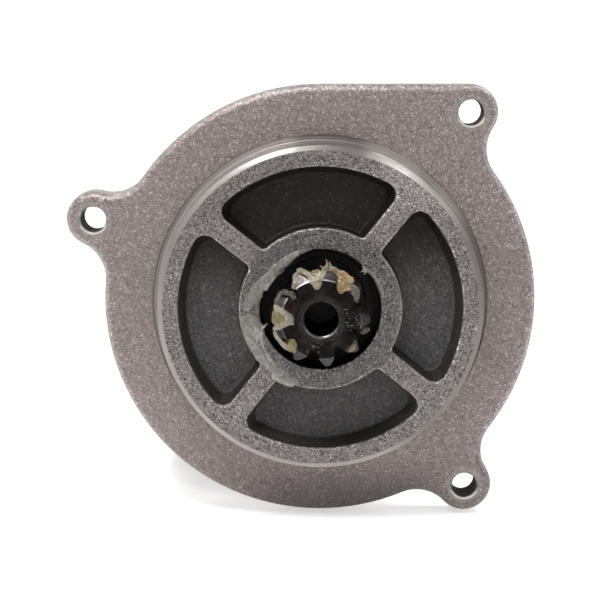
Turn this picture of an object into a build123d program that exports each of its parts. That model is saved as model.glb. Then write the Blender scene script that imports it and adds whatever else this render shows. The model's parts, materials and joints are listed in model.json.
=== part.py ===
from build123d import *
import math
import os

os.makedirs("parts", exist_ok=True)

# Planetary-gear starter motor with an overhung nine-tooth pinion, millimetres.
# Everything is drawn in a working frame: +Z forward along the pinion axis, away
# from the motor, z = 0 on the mounting face of the flange, +Y up. save() turns it
# into the part's own frame: forward is -Y, up is +Z, +X stays to the right.

# ---------------------------------------------------------------- dimensions
FLANGE_R = 73.2        # round flange
FLANGE_T = 12.0
BOLT_R = 81.3          # radius of the circle that the three ear holes lie on
HOLE_R = 4.25          # clearance for M8
SPOT_R = 6.2           # shallow spot face round each hole
SPOT_D = 0.15
EAR_R = 9.3
EAR_TR = 51.82         # ear directions, degrees from +X
EAR_L = 159.8
EAR_BR = 307.9
EAR_BLEND = 13.0
PILOT_R = 54.0         # turned pilot
PILOT_H = 15.0
BOSS_R = 27.1          # nose ring round the pinion
BORE_R = 20.1
POCKET_RO = 47.4       # four kidney pockets in the front face
POCKET_D = 8.2
DRAFT_OUT = 16.5       # slope of the pockets' outer wall, degrees
DRAFT_WEB = 9.0        # of the walls along the webs
DRAFT_IN = 1.5         # of the wall along the nose ring
FLOOR_R = 1.1          # rounding at the foot of the walls
WEB_W = 7.0
WEB_A = 51.4

PIN_Z = 9              # pinion
PIN_M = 2.82
PIN_RT = 15.75
PIN_RR = 10.15
PIN_PA = 26.0          # steep flanks, so the teeth run to a narrow tip
PIN_T = 5.0            # tooth thickness on the pitch circle
PIN_FRONT = 34.0
PIN_BACK = 12.0
SLEEVE_R = 10.5
BEVEL_R = 12.75        # the teeth are bevelled outside this radius
NOSE_HOLE_R = 5.5      # small hole in the pinion's front face

SUN_Z, PLANET_Z, RING_Z = 11, 13, 37
GEAR_M = 1.5
GEAR_PA = 25.0
CENTRE = GEAR_M * (SUN_Z + PLANET_Z) / 2

SOL_A = 232.0          # the solenoid lies on this side of the motor
SOL_X = 61.5           # and this far from its axis
PIVOT_X, PIVOT_Z = 35.0, -55.8
HALF = 13.213          # half of the fork's swing, degrees
DRIVE_TRAVEL = 16.0
PLUNGER_TRAVEL = 12.114
CONTACT_TRAVEL = 3.0

YOKE_R = 36.5
Z_HOUSING_END = -96.0
Z_YOKE_END = -176.0
Z_REAR = -192.0
BOLT_X = 40.5          # the two long bolts run outside the yoke


# ---------------------------------------------------------------- helpers
def cyl(r, z0, z1, x=0.0, y=0.0):
    z0, z1 = min(z0, z1), max(z0, z1)
    return Pos(x, y, z0) * Cylinder(r, z1 - z0, align=(Align.CENTER, Align.CENTER, Align.MIN))


def ring(ro, ri, z0, z1, x=0.0, y=0.0):
    z0, z1 = min(z0, z1), max(z0, z1)
    return cyl(ro, z0, z1, x, y) - cyl(ri, z0 - 1, z1 + 1, x, y)


def block(x0, x1, y0, y1, z0, z1):
    return Pos((x0 + x1) / 2, (y0 + y1) / 2, (z0 + z1) / 2) * Box(abs(x1 - x0), abs(y1 - y0), abs(z1 - z0))


def ycyl(r, y0, y1, x, z):
    return Pos(x, (y0 + y1) / 2, z) * Rot(90, 0, 0) * Cylinder(r, abs(y1 - y0))


def turned(points, x=0.0):
    """Solid of revolution about Z from (radius, z) points."""
    face = make_face(Plane.XZ * Polyline(*[(r, z) for r, z in points], close=True))
    return Pos(x, 0, 0) * revolve(face, Axis.Z, 360)


def side(shape):
    """From the fork's own frame, where +X points at the solenoid, to the working frame."""
    return Rot(0, 0, SOL_A) * shape


def polar(r, a):
    return r * math.cos(math.radians(a)), r * math.sin(math.radians(a))


def save(name, *shapes):
    solids = []
    for s in shapes:
        solids += list(s.solids()) if hasattr(s, "solids") else [s]
    solids = [Rot(90, 0, 0) * s for s in solids]
    out = solids[0] if len(solids) == 1 else Compound(children=solids)
    export_step(out, f"parts/{name}.step")


def spin(shape, n, start=0.0):
    return [Rot(0, 0, start + 360.0 * k / n) * shape for k in range(n)]


def involute_gear(z, m, rt, rr, thick, pa=GEAR_PA, phase=0.0, steps=7):
    """Outline points of an external gear. thick is the tooth's thickness on the pitch circle; a tooth's centre is at phase."""
    rp = m * z / 2
    rb = rp * math.cos(math.radians(pa))
    inv = lambda a: math.tan(a) - a
    half_at = lambda r: thick / (2 * rp) + inv(math.radians(pa)) - inv(math.acos(min(1.0, rb / r)))
    pts = []
    for k in range(z):
        c = math.radians(phase) + 2 * math.pi * k / z
        r0 = max(rb, rr + 0.15)
        rs = [r0 + (rt - r0) * i / (steps - 1) for i in range(steps)]
        base = half_at(r0)
        nxt = 2 * math.pi / z
        root_half = base + 0.012 + (0.0 if rb <= rr else 0.03)
        left = [(rr, c - root_half)] + [(r, c - half_at(r)) for r in rs]
        right = [(r, c + half_at(r)) for r in reversed(rs)] + [(rr, c + root_half)]
        mid = [(rr, c + nxt / 2)]
        pts += left + right + mid
    return [(r * math.cos(a), r * math.sin(a)) for r, a in pts]


def polyface(pts):
    return make_face(Polyline(*pts, close=True))


def prism(pts, z0, z1):
    return Pos(0, 0, min(z0, z1)) * extrude(polyface(pts), abs(z1 - z0))


def helix_spring(r, wire, z0, z1, turns, x=0.0):
    """A coil spring of mean radius r between z0 and z1, as one swept wire."""
    h = abs(z1 - z0) - 2 * wire
    path = Helix(pitch=h / turns, height=h, radius=r)
    s = sweep(Plane(origin=path @ 0, z_dir=path % 0) * Circle(wire), path=path, is_frenet=True)
    return Pos(x, 0, min(z0, z1) + wire) * s


# ---------------------------------------------------------------- drive housing
def flange_outline():
    ears = [(EAR_TR, True), (EAR_L, False), (EAR_BR, False)]
    R, re, rf = FLANGE_R, EAR_R, EAR_BLEND
    edges = []

    def blend(ear_angle, sign):
        """Centre of the concave blend between flange and ear, on one side of the ear."""
        d, a, b = BOLT_R, R + rf, re + rf
        cosg = (a * a + d * d - b * b) / (2 * a * d)
        g = math.degrees(math.acos(cosg)) * sign
        return polar(a, ear_angle + g), ear_angle + g

    def arc_ccw(centre, r, a0, a1):
        while a1 < a0:
            a1 += 360
        return CenterArc(centre, r, a0, a1 - a0)

    def arc_cw(centre, r, a0, a1):
        while a1 > a0:
            a1 -= 360
        return CenterArc(centre, r, a0, a1 - a0)

    def ang(c, p):
        return math.degrees(math.atan2(p[1] - c[1], p[0] - c[0]))

    at = 90.0  # walk counter-clockwise from the top of the flange
    for a in (EAR_L, EAR_BR):
        e = polar(BOLT_R, a)
        c1, g1 = blend(a, -1)
        c2, g2 = blend(a, +1)
        edges.append(arc_ccw((0, 0), R, at, g1))
        edges.append(arc_cw(c1, rf, ang(c1, (0, 0)), ang(c1, e)))
        edges.append(arc_ccw(e, re, ang(e, c1), ang(e, c2)))
        edges.append(arc_cw(c2, rf, ang(c2, e), ang(c2, (0, 0))))
        at = g2
    e = polar(BOLT_R, EAR_TR)
    c1, g1 = blend(EAR_TR, -1)
    edges.append(arc_ccw((0, 0), R, at, g1 + 360 if g1 < at - 360 else g1))
    edges.append(arc_cw(c1, rf, ang(c1, (0, 0)), ang(c1, e)))
    edges.append(arc_ccw(e, re, ang(e, c1), 90.0))
    edges.append(Line((e[0], e[1] + re), (0, R)))
    return make_face(Wire(edges))


def pockets():
    """The four kidney pockets as cutting tools. Their outer wall slopes well in, the web walls a little, the nose-ring wall hardly."""
    z0, z1 = PILOT_H - POCKET_D, PILOT_H
    ro, ri = POCKET_RO - POCKET_D * math.tan(math.radians(DRAFT_OUT)), BOSS_R + POCKET_D * math.tan(math.radians(DRAFT_IN))
    hw, hf = WEB_W / 2, WEB_W / 2 + POCKET_D * math.tan(math.radians(DRAFT_WEB))
    blank = turned([(ri, z0), (ro, z0), (POCKET_RO, z1), (BOSS_R, z1)])
    bar = Rot(90, 0, 0) * extrude(make_face(Polyline((-hf - 0.2, z0 - 1), (hf + 0.2, z0 - 1), (hf, z0), (hw, z1), (hw - 0.12, z1 + 1), (-hw + 0.12, z1 + 1), (-hw, z1), (-hf, z0), close=True)), 70, both=True)
    four = blank - Rot(0, 0, WEB_A) * bar - Rot(0, 0, WEB_A + 90) * bar
    tools = []
    for solid in four.solids():
        outer, inner = [], []
        for e in solid.edges():
            lo, hi = e.bounding_box().min.Z, e.bounding_box().max.Z
            if hi - lo > POCKET_D * 0.8:
                (outer if math.hypot((e @ 0.5).X, (e @ 0.5).Y) > 38 else inner).append(e)
        solid = solid.fillet(4.2, outer)
        solid = solid.fillet(1.7, inner)
        low = [e for e in solid.edges() if e.bounding_box().max.Z < z0 + 0.01]
        solid = solid.fillet(FLOOR_R, low)
        top = [f for f in solid.faces() if f.bounding_box().min.Z > z1 - 0.01][0]
        tools.append(solid + extrude(top, 1, dir=(0, 0, 1)))
    return tools


def drive_housing():
    flange = Pos(0, 0, -FLANGE_T) * extrude(flange_outline(), FLANGE_T)
    front = flange.faces().sort_by(Axis.Z)[-1].edges()
    flange = fillet(front, 2.9)
    back = flange.faces().sort_by(Axis.Z)[0].edges()
    flange = fillet(back, 1.5)
    pilot = chamfer(cyl(PILOT_R, -2, PILOT_H).faces().sort_by(Axis.Z)[-1].edges(), 1.4, 1.8)

    # bell behind the flange, then the tube that takes the gears
    bell = turned([(0, -6), (57, -6), (53, -14), (44.5, -27), (40, -42), (38.5, -60), (38.5, Z_HOUSING_END), (0, Z_HOUSING_END)])
    # lobe that carries the solenoid, and the bridge to it that the fork swings in
    lobe = turned([(0, -33), (11, -33), (18, -39), (23.6, -50), (25.2, -56), (26, -61), (26, -66), (0, -66)], SOL_X)
    bridge = Rot(90, 0, 0) * extrude(make_face(Polyline((0, -13), (34, -13), (44, -24), (62, -33), (66, -40), (66, -66), (0, -66), close=True)), 19, both=True)
    lugs = cyl(6.2, -66, -50, SOL_X, 29) + cyl(6.2, -66, -50, SOL_X, -29) + block(SOL_X - 4, SOL_X + 4, -29, 29, -66, -52)
    out = flange + pilot + bell + side(lobe + bridge + lugs)
    for s in (90, -90):
        bx, by = polar(BOLT_X, SOL_A + s)
        out += cyl(5.6, Z_HOUSING_END, -76, bx, by) + Pos(bx, by, -76) * Cone(5.6, 2.5, 6, align=(Align.CENTER, Align.CENTER, Align.MIN))
    # gussets from the bell to the back of the flange
    for a in (20.0, 88.0, 125.0, 195.0, 270.0, 340.0):
        rib = Rot(90, 0, 0) * extrude(make_face(Polyline((30, -8), (66, -8), (66, -12.5), (46, -25), (39.5, -46), (30, -46), close=True)), 2.6, both=True)
        out += Rot(0, 0, a) * rib

    # inside
    out -= cyl(33.1, -17, Z_HOUSING_END - 1)
    out -= ring(33.1, 21.0, -18, -0.5)
    out -= cyl(16.0, -18, -1.4)
    out -= cyl(17.5, -1.5, 2.6)
    out -= cyl(BORE_R, 2.5, PILOT_H + 1)
    out -= side(turned([(0, -38), (8.5, -38), (14.4, -42), (19.6, -52), (21, -58), (21, -67), (0, -67)], SOL_X))
    out -= side(Rot(90, 0, 0) * extrude(make_face(Polyline((10, -19), (31, -19), (42, -29), (60, -38), (62, -40), (62, -62.8), (10, -62.8), close=True)), 14, both=True))
    out -= side(ycyl(4.0, -17.0, 17.0, PIVOT_X, PIVOT_Z))
    # seat and clearance for the round solenoid body beside the tube
    out -= side(cyl(24.6, Z_HOUSING_END - 1, -66.0, SOL_X))
    out -= side(cyl(6.4, -75, -66.0, SOL_X, 29) + cyl(6.4, -75, -66.0, SOL_X, -29) + block(SOL_X - 5.6, SOL_X + 5.6, -29, 29, -75, -66.0))
    for t in pockets():
        out -= t
    # turned relief round the foot of the pilot
    out -= ring(56.6, PILOT_R, -0.5, 1)
    for a in (EAR_TR, EAR_L, EAR_BR):
        x, y = polar(BOLT_R, a)
        out -= cyl(HOLE_R, -FLANGE_T - 1, 1, x, y)
        out -= cyl(SPOT_R, -SPOT_D, 1, x, y)
        out -= Pos(x, y, -0.6) * Cone(HOLE_R, HOLE_R + 0.47, 0.47, align=(Align.CENTER, Align.CENTER, Align.MIN))
        out -= cyl(8.6, -FLANGE_T - 1, -FLANGE_T + 0.5, x, y)
    for s in (90, -90):
        bx, by = polar(BOLT_X, SOL_A + s)
        out -= cyl(2.5, Z_HOUSING_END - 1, -84, bx, by)
    for y in (29, -29):
        out -= side(cyl(2.5, -67, -53, SOL_X, y))
    # as-cast rounding of the pocket, web and nose-ring edges on the front face
    def top_edges(solid, lo, hi):
        found = []
        for e in solid.edges():
            if abs(e.center().Z - PILOT_H) < 0.02 and e.bounding_box().size.Z < 0.01:
                m = e @ 0.5
                if lo < math.hypot(m.X, m.Y) < hi:
                    found.append(e)
        return found

    body = out.solids()[0]
    body = body.fillet(0.9, top_edges(body, 26.5, 48.2))
    body = body.fillet(0.6, top_edges(body, 19.8, 22.0))
    return body


housing = drive_housing()
print("housing valid", housing.is_valid, "solids", len(housing.solids()), "volume", round(housing.volume))
save("drive_housing", housing)

# front bearing and lip seal in the nose
save("nose_bearing", ring(16.0, SLEEVE_R + 0.05, -15.5, -2.0))
save("nose_seal", turned([(17.5, -1.3), (17.5, 2.5), (15.6, 2.5), (15.0, 1.2), (13.2, 1.2), (11.2, 2.2), (SLEEVE_R + 0.12, 1.6), (SLEEVE_R + 0.12, 0.9), (12.4, -0.2), (12.4, -1.3)]))

# ---------------------------------------------------------------- pinion
def pinion():
    rp = PIN_M * PIN_Z / 2
    teeth = prism(involute_gear(PIN_Z, PIN_M, PIN_RT, PIN_RR, PIN_T, pa=PIN_PA, phase=278.0 - 40, steps=9), PIN_BACK, PIN_FRONT)
    # bevel on the front of the teeth, and a lighter one behind
    envelope = turned([(0, PIN_BACK), (PIN_RT - 0.8, PIN_BACK), (PIN_RT + 0.3, PIN_BACK + 1.2), (PIN_RT + 0.3, PIN_FRONT - 2.6), (BEVEL_R, PIN_FRONT), (0, PIN_FRONT)])
    teeth = teeth & envelope
    body = teeth + cyl(12.4, PIN_BACK, 6.5) + cyl(SLEEVE_R, 7, -52.5)
    body -= cyl(NOSE_HOLE_R, -60, 40)
    body -= cyl(7.2, -60, 29.5)
    body -= cyl(8.3, -60, -34.0)
    body -= cyl(7.6, PIN_FRONT - 0.25, PIN_FRONT + 1)
    body -= Pos(0, 0, PIN_FRONT - 0.75) * Cone(NOSE_HOLE_R, NOSE_HOLE_R + 0.55, 0.55, align=(Align.CENTER, Align.CENTER, Align.MIN))
    return body


save("pinion", pinion())
save("pinion_bushes", ring(7.2, 5.65, -33.5, -22), ring(7.2, 5.65, -20, -9))

# ---------------------------------------------------------------- one-way clutch
ROLL_R, ROLL_C = 2.75, 13.29
shell = cyl(22.0, -60, -36) + cyl(14.6, -69.5, -59)
shell -= cyl(10.75, -53.5, -35)
pocket = cyl(2.86, -53.5, -35, ROLL_C, 0) + block(11.6, 15.0, -5.4, 0, -53.5, -35)
for p in spin(pocket, 5):
    shell -= p
spline_in = [polar(r, a) for k in range(10) for r, a in ((8.1, 36 * k - 8.6), (8.1, 36 * k + 8.6), (6.95, 36 * k + 10.6), (6.95, 36 * k + 25.4))]
shell -= prism(spline_in, -70, -53)
save("clutch_shell", shell)
save("clutch_rollers", *spin(cyl(ROLL_R, -51.6, -37.6, ROLL_C, 0), 5))
save("clutch_springs", *spin(Pos(13.2, -4.15, -44.5) * Rot(90, 0, 0) * Cylinder(1.2, 2.2), 5))
save("clutch_cover", turned([(22.02, -60.6), (22.6, -60.6), (22.6, -34.65), (12.4, -34.65), (12.4, -35.95), (22.02, -35.95)]))
save("fork_collar", ring(19.0, 14.62, -69.4, -67.0))

# ---------------------------------------------------------------- shift fork, pivot and plunger, in the fork's frame
def fork():
    # drawn square to the shaft with the pads at x = 0, then swung to its rest position
    z = PIVOT_Z
    arms = []
    for s in (1, -1):
        y0, y1 = (23.3 * s, 26.3 * s)
        arm = block(-4.2, 17.6, y0, y1, z - 2.5, z + 2.5)
        pad = ycyl(2.9, 15.2 * s, 25.0 * s, 0, z)
        knee = Pos(0, 0, z - 2.5) * extrude(make_face(Polyline((15.5, 26.3 * s), (15.5, 23.3 * s), (23.4, 9.0 * s), (27.0, 9.0 * s), (18.2, 26.3 * s), close=True)), 5)
        arms += [arm, pad, knee]
    cheek = block(23.8, 30.5, -10.5, 10.5, z - 2.5, z + 2.5)
    hub = ycyl(6.4, -13.4, 13.4, PIVOT_X, z)
    top = Rot(90, 0, 0) * extrude(make_face(Polyline((35, z - 5.4), (50.5, z - 3.0), (53.8, z - 1.55), (61.5, z - 1.55), (61.5, z + 1.55), (53.8, z + 1.55), (50.5, z + 3.0), (35, z + 5.4), close=True)), 4.5, both=True)
    tip = ycyl(3.2, -4.5, 4.5, SOL_X, z)
    out = cheek + hub + top + tip
    for a in arms:
        out += a
    out -= ycyl(4.1, -20, 20, PIVOT_X, z)
    return Pos(PIVOT_X, 0, PIVOT_Z) * Rot(0, -HALF, 0) * Pos(-PIVOT_X, 0, -PIVOT_Z) * out


save("shift_fork", side(fork()))
save("fork_pin", side(ycyl(4.0, -16.9, 16.9, PIVOT_X, PIVOT_Z)))

TIP_Z = PIVOT_Z + 26.5 * math.sin(math.radians(HALF))
plunger = cyl(11.0, -98.9, -62, SOL_X) + cyl(6.5, -63, -42, SOL_X)
plunger = chamfer(plunger.faces().sort_by(Axis.Z)[-1].edges(), 1.0)
plunger -= block(SOL_X - 12, SOL_X + 3.75, -8, 8, TIP_Z - 3.5, TIP_Z + 3.5)
plunger -= cyl(8.2, -99, -80.9, SOL_X)
save("solenoid_plunger", side(plunger))
save("plunger_spring", side(helix_spring(7.1, 0.65, -111.2, -81.2, 7, SOL_X)))

# ---------------------------------------------------------------- solenoid
plate = cyl(24.0, -68.2, -66.0, SOL_X)
for y in (29, -29):
    plate += cyl(6.0, -68.2, -66.0, SOL_X, y) + block(SOL_X - 5.2, SOL_X + 5.2, 0, y, -68.2, -66.0)
plate -= cyl(11.3, -70, -65, SOL_X)
for y in (29, -29):
    plate -= cyl(2.75, -70, -65, SOL_X, y)
screws = []
for y in (29, -29):
    s = cyl(2.45, -68.2, -55, SOL_X, y) + cyl(4.4, -72.4, -68.2, SOL_X, y)
    s -= Pos(SOL_X, y, -72.5) * extrude(RegularPolygon(2.3, 6), 2.2)
    screws.append(side(s))
save("solenoid_screws", *screws)
shell = turned([(24.0, -68.1), (22.4, -68.1), (22.4, -121.5), (23.2, -121.5), (24.0, -120.7)], SOL_X)
save("solenoid_case", side(plate + shell))
save("solenoid_bobbin", side(turned([(11.4, -68.4), (21.9, -68.4), (21.9, -70.2), (12.9, -70.2), (12.9, -113.4), (21.9, -113.4), (21.9, -115.4), (11.4, -115.4)], SOL_X)))
save("solenoid_coil", side(ring(21.4, 12.95, -113.3, -70.3, SOL_X)))
save("solenoid_core", side(turned([(11.2, -111.4), (11.2, -115.6), (22.3, -115.6), (22.3, -119.0), (2.8, -119.0), (2.8, -111.4)], SOL_X)))
save("contact_rod", side(cyl(2.5, -128.6, -90.4, SOL_X)))
save("contact_disc", side(ring(14.5, 2.5, -126.5, -124.2, SOL_X)))
save("contact_spring", side(helix_spring(4.0, 0.5, -139.9, -126.6, 5, SOL_X)))

cap = turned([(22.3, -119.1), (22.3, -121.6), (23.6, -121.6), (23.6, -141), (21.0, -146), (0, -146), (0, -140), (20.4, -140), (20.4, -119.1)], SOL_X)
STUD = 11.5
for s in (1, -1):
    cap += cyl(8.6, -149.5, -143, SOL_X + STUD * s, 0)
cap += block(SOL_X - 5, SOL_X + 5, 9.5, 17.5, -149.0, -143)
cap += block(SOL_X - 2.2, SOL_X + 2.2, -19, 9.0, -151.5, -143)
for s in (1, -1):
    cap -= cyl(4.05, -155, -135, SOL_X + STUD * s, 0)
cap -= block(SOL_X - 3.25, SOL_X + 3.25, 13.0, 13.9, -150, -138)
save("solenoid_cap", side(cap))


def stud(x, z_end, z_free):
    head = block(x - 5.6, x + 5.6, -7.5, 7.5, -134.5, -129.6)
    free = chamfer(cyl(3.95, z_end, z_free - 0.9, x).faces().sort_by(Axis.Z)[0].edges(), 0.7)
    groove = cyl(3.45, z_free - 1.0, z_free + 0.1, x)
    return free + groove + cyl(4.0, z_free, -134, x) + head


save("battery_stud", side(stud(SOL_X + STUD, -168.9, -156.0)))
save("motor_stud", side(stud(SOL_X - STUD, -164.0, -158.4)))


def nut(x, z0, z1, af=13.0):
    n = Pos(x, 0, min(z0, z1)) * extrude(RegularPolygon(af / 2, 6, major_radius=False), abs(z1 - z0))
    return n - cyl(4.02, z0 - 1, z1 + 1, x)


save("terminal_nuts", side(nut(SOL_X + STUD, -155.8, -151.1)), side(nut(SOL_X - STUD, -157.3, -152.6)),
     side(ring(7.4, 4.1, -151.0, -149.6, SOL_X + STUD)), side(ring(6.4, 4.1, -152.5, -151.5, SOL_X - STUD)))
save("signal_blade", side(block(SOL_X - 3.15, SOL_X + 3.15, 13.05, 13.85, -160, -138.5)))

# flat copper link from the solenoid's motor terminal through the grommet to the brush gear
LX = SOL_X - STUD
XI = YOKE_R + 3.6
strap = Rot(90, 0, 0) * extrude(make_face(Polyline(
    (LX - 4, -151.4), (LX - 4, -149.6), (XI + 2.8, -149.6), (XI + 0.8, -150.4), (XI, -152.4),
    (XI, -167.0), (XI - 0.6, -168.8), (XI - 2.2, -169.4), (31.8, -169.4), (31.8, -171.2),
    (XI - 1.9, -171.2), (XI + 0.6, -170.2), (XI + 1.8, -167.8), (XI + 1.8, -153.0), (XI + 2.2, -151.9), (XI + 3.2, -151.4), close=True)), 3.2, both=True)
lug = cyl(7.6, -151.4, -149.6, LX)
link = strap + lug - cyl(4.1, -156, -145, LX)
save("motor_link", side(link))
grommet = Pos(YOKE_R - 1.4, 0, -170.3) * Rot(0, 90, 0) * Cylinder(4.35, 4.2)
grommet += Pos(YOKE_R + 0.75, 0, -170.3) * Rot(0, 90, 0) * Cylinder(5.6, 1.2)
grommet -= block(30, 45, -3.3, 3.3, -171.3, -169.3)
save("link_grommet", side(grommet & (cyl(60, -180, -160) - cyl(33.1, -181, -159)) - (cyl(YOKE_R + 0.05, -180, -160) - Pos(35, 0, -170.3) * Rot(0, 90, 0) * Cylinder(4.36, 12))))

# ---------------------------------------------------------------- planetary gears
T_PITCH = math.pi * GEAR_M / 2
BACKLASH = 0.09
sun_phase = 0.0


def mesh_phase(phi):
    """Tooth angle of a planet at direction phi that meshes with the sun."""
    fs = ((phi - sun_phase) / (360.0 / SUN_Z)) % 1.0
    fp = (0.5 - fs) % 1.0
    return phi + 180.0 - fp * 360.0 / PLANET_Z


phis = [90.0, 210.0, 330.0]
planets = []
for k, phi in enumerate(phis):
    pts = involute_gear(PLANET_Z, GEAR_M, 9.75 + 1.2, 9.75 - 1.6, T_PITCH - BACKLASH, phase=mesh_phase(phi))
    g = prism(pts, -93.6, -82.7) - cyl(4.0, -100, -80)
    x, y = polar(CENTRE, phi)
    save(f"planet_gear_{k + 1}", Pos(x, y, 0) * g, ring(4.0, 3.06, -93.5, -82.8, x, y))

# ring gear: the space between its teeth faces each planet's tooth
b1 = mesh_phase(phis[0])
fpo = ((phis[0] - b1) / (360.0 / PLANET_Z)) % 1.0
ring_phase = phis[0] - fpo * 360.0 / RING_Z


def ring_space_points():
    rp = GEAR_M * RING_Z / 2
    rb = rp * math.cos(math.radians(GEAR_PA))
    inv = lambda a: math.tan(a) - a
    thick = T_PITCH + BACKLASH
    pts = []
    r_in, r_out = rp - 1.1, rp + 1.7
    for k in range(RING_Z):
        c = math.radians(ring_phase) + 2 * math.pi * k / RING_Z
        half = lambda r: thick / (2 * rp) + inv(math.radians(GEAR_PA)) - inv(math.acos(rb / r))
        rs = [r_in + (r_out - r_in) * i / 8 for i in range(9)]
        pts += [(r, c - half(r)) for r in rs] + [(r, c + half(r)) for r in reversed(rs)]
    return [(r * math.cos(a), r * math.sin(a)) for r, a in pts]


ring_gear = ring(33.0, 10.5, -76.0, -72.0) + ring(33.0, 25.0, -95.1, -75.9)
ring_gear -= prism(ring_space_points(), -96, -76.9)
save("ring_gear", ring_gear)
save("output_bush", ring(10.5, 8.06, -76.2, -71.6))
save("gear_cover_plate", ring(32.8, 11.0, -96.3, -95.2))

# carrier with the output shaft
carrier = cyl(24.2, -82.0, -77.4) + cyl(8.0, -77.5, -70.0)
spline_out = [polar(r, a) for k in range(10) for r, a in ((8.0, 36 * k - 8.0), (8.0, 36 * k + 8.0), (6.8, 36 * k + 10.2), (6.8, 36 * k + 25.8))]
carrier += prism(spline_out, -70.2, -36.0)
carrier += cyl(5.6, -36.5, 8.0)
carrier = carrier - cyl(5.5, -83, -77.6)
for phi in phis:
    x, y = polar(CENTRE, phi)
    carrier -= cyl(3.0, -83, -77.9, x, y)
save("carrier_shaft", carrier)
save("planet_pins", *[cyl(3.0, -94.4, -77.9, *polar(CENTRE, phi)) for phi in phis])
save("pilot_bush", ring(5.5, 4.06, -82.0, -77.7))

# ---------------------------------------------------------------- armature
sun = involute_gear(SUN_Z, GEAR_M, 8.25 + 1.2, 8.25 - 1.6, T_PITCH - BACKLASH, phase=sun_phase)
shaft = cyl(4.0, -82.6, -77.9) + prism(sun, -94.8, -82.5) + cyl(6.5, -94.7, -160) + cyl(6.0, -159.9, -181) + cyl(5.0, -181, -190.2)
save("armature_shaft", shaft)
SLOTS = 20
core = ring(25.5, 6.5, -152, -106)
slot = block(17.8, 24.4, -1.35, 1.35, -153, -105) + block(24.3, 26.5, -0.8, 0.8, -153, -105)
for s in spin(slot, SLOTS):
    core -= s
save("armature_core", core)
wind = turned([(12.5, -105.8), (24.2, -105.8), (23.6, -101.0), (20.5, -99.4), (14.5, -99.6), (12.5, -101.5)])
wind += turned([(12.5, -152.2), (24.2, -152.2), (23.4, -158.0), (18.5, -160.4), (14.0, -160.0), (12.5, -158.5)])
for s in spin(block(18.0, 24.2, -1.2, 1.2, -152.4, -105.6), SLOTS):
    wind += s
save("armature_winding", wind)
bars = ring(14.0, 9.2, -178.0, -162.5) + ring(17.4, 9.2, -163.3, -162.0)
seg = bars & Rot(0, 0, 0) * extrude(Pos(0, 0, -180) * make_face(Polyline((0, 0), polar(30, -8.6), polar(30, 8.6), close=True)), 20)
save("commutator_bars", *spin(seg, SLOTS))
save("commutator_hub", ring(9.15, 6.0, -178.2, -161.0))

# ---------------------------------------------------------------- yoke, magnets, brush gear and rear cover
yoke = ring(YOKE_R, 33.0, Z_YOKE_END, Z_HOUSING_END)
yoke -= side(Pos(35, 0, -170.3) * Rot(0, 90, 0) * Cylinder(4.4, 12))
save("yoke", yoke)
mag = ring(32.9, 26.3, -153, -105) & extrude(Pos(0, 0, -154) * make_face(Polyline((0, 0), polar(60, -23.5), polar(60, 23.5), close=True)), 50)
save("field_magnets", *spin(mag, 6, SOL_A + 30))

BA = SOL_A + 45
plate = ring(33.3, 15.6, -178.4, -176.5)
save("brush_plate", plate)
boxes = []
for k in range(4):
    b = block(15.6, 30.8, -4.5, 4.5, -176.4, -163.8) - block(15, 32, -3.65, 3.65, -175.65, -164.4)
    boxes.append(Rot(0, 0, BA + 90 * k) * b)
save("brush_holders", *boxes)
brush = block(14.25, 26.6, -3.55, 3.55, -175.5, -164.6) - cyl(14.06, -180, -160)
for k in range(4):
    save(f"brush_{k + 1}", Rot(0, 0, BA + 90 * k) * brush)
springs = []
for k in range(4):
    s = Pos(26.7, 0, -170.0) * Rot(0, 90, 0) * helix_spring(2.6, 0.45, 0, 5.9, 3)
    springs.append(Rot(0, 0, BA + 90 * k) * s)
save("brush_springs", *springs)

rear = turned([(YOKE_R, Z_YOKE_END), (YOKE_R, -188.2), (34.0, -191.0), (17.5, Z_REAR), (17.5, -193.2), (15.2, -194.0), (15.2, -192.2), (13.0, -192.2), (13.0, -181.4), (16.2, -181.4), (16.2, -188.6), (33.4, -188.0), (33.4, Z_YOKE_END)])
for s in (90, -90):
    bx, by = polar(BOLT_X, SOL_A + s)
    ear = cyl(5.6, Z_REAR, -179, bx, by) - cyl(33.4, -188, -170)
    rear += ear - cyl(34.0, -200, -170)
    rear -= cyl(2.75, -200, -170, bx, by)
save("rear_cover", rear)
save("rear_cap", turned([(0, -192.4), (15.1, -192.4), (15.1, -195.2), (13.8, -196.2), (0, -196.2)]))

# long bolts
bolts = []
for s in (90, -90):
    bx, by = polar(BOLT_X, SOL_A + s)
    b = cyl(2.45, -192.1, -85, bx, by) + Pos(bx, by, -196.4) * extrude(RegularPolygon(4.0, 6, major_radius=False), 4.3) + cyl(5.3, -193.1, -192.1, bx, by)
    bolts.append(b)
save("through_bolts", *bolts)

# rear ball bearing
BR_, BZ, BALL = 9.2, -187.0, 2.2
groove = Pos(0, 0, BZ) * Torus(BR_, BALL + 0.06)
save("bearing_outer_race", ring(13.0, 10.5, -191.0, -183.0) - groove)
save("bearing_inner_race", ring(7.9, 5.0, -190.2, -183.0) - groove)
balls, cage = [], ring(9.9, 8.5, -189.4, -184.6)
for k in range(8):
    x, y = polar(BR_, 45 * k)
    balls.append(Pos(x, y, BZ) * Sphere(BALL))
    cage -= Rot(0, 0, 45 * k) * Pos(BR_, 0, BZ) * Rot(0, 90, 0) * Cylinder(BALL + 0.08, 5)
save("bearing_balls", *balls)
save("bearing_cage", cage)
print("nodes", len([f for f in os.listdir("parts") if f.endswith(".step")]))
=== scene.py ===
import json
import math

import bmesh
import bpy
from mathutils import Matrix, Vector, noise


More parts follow.
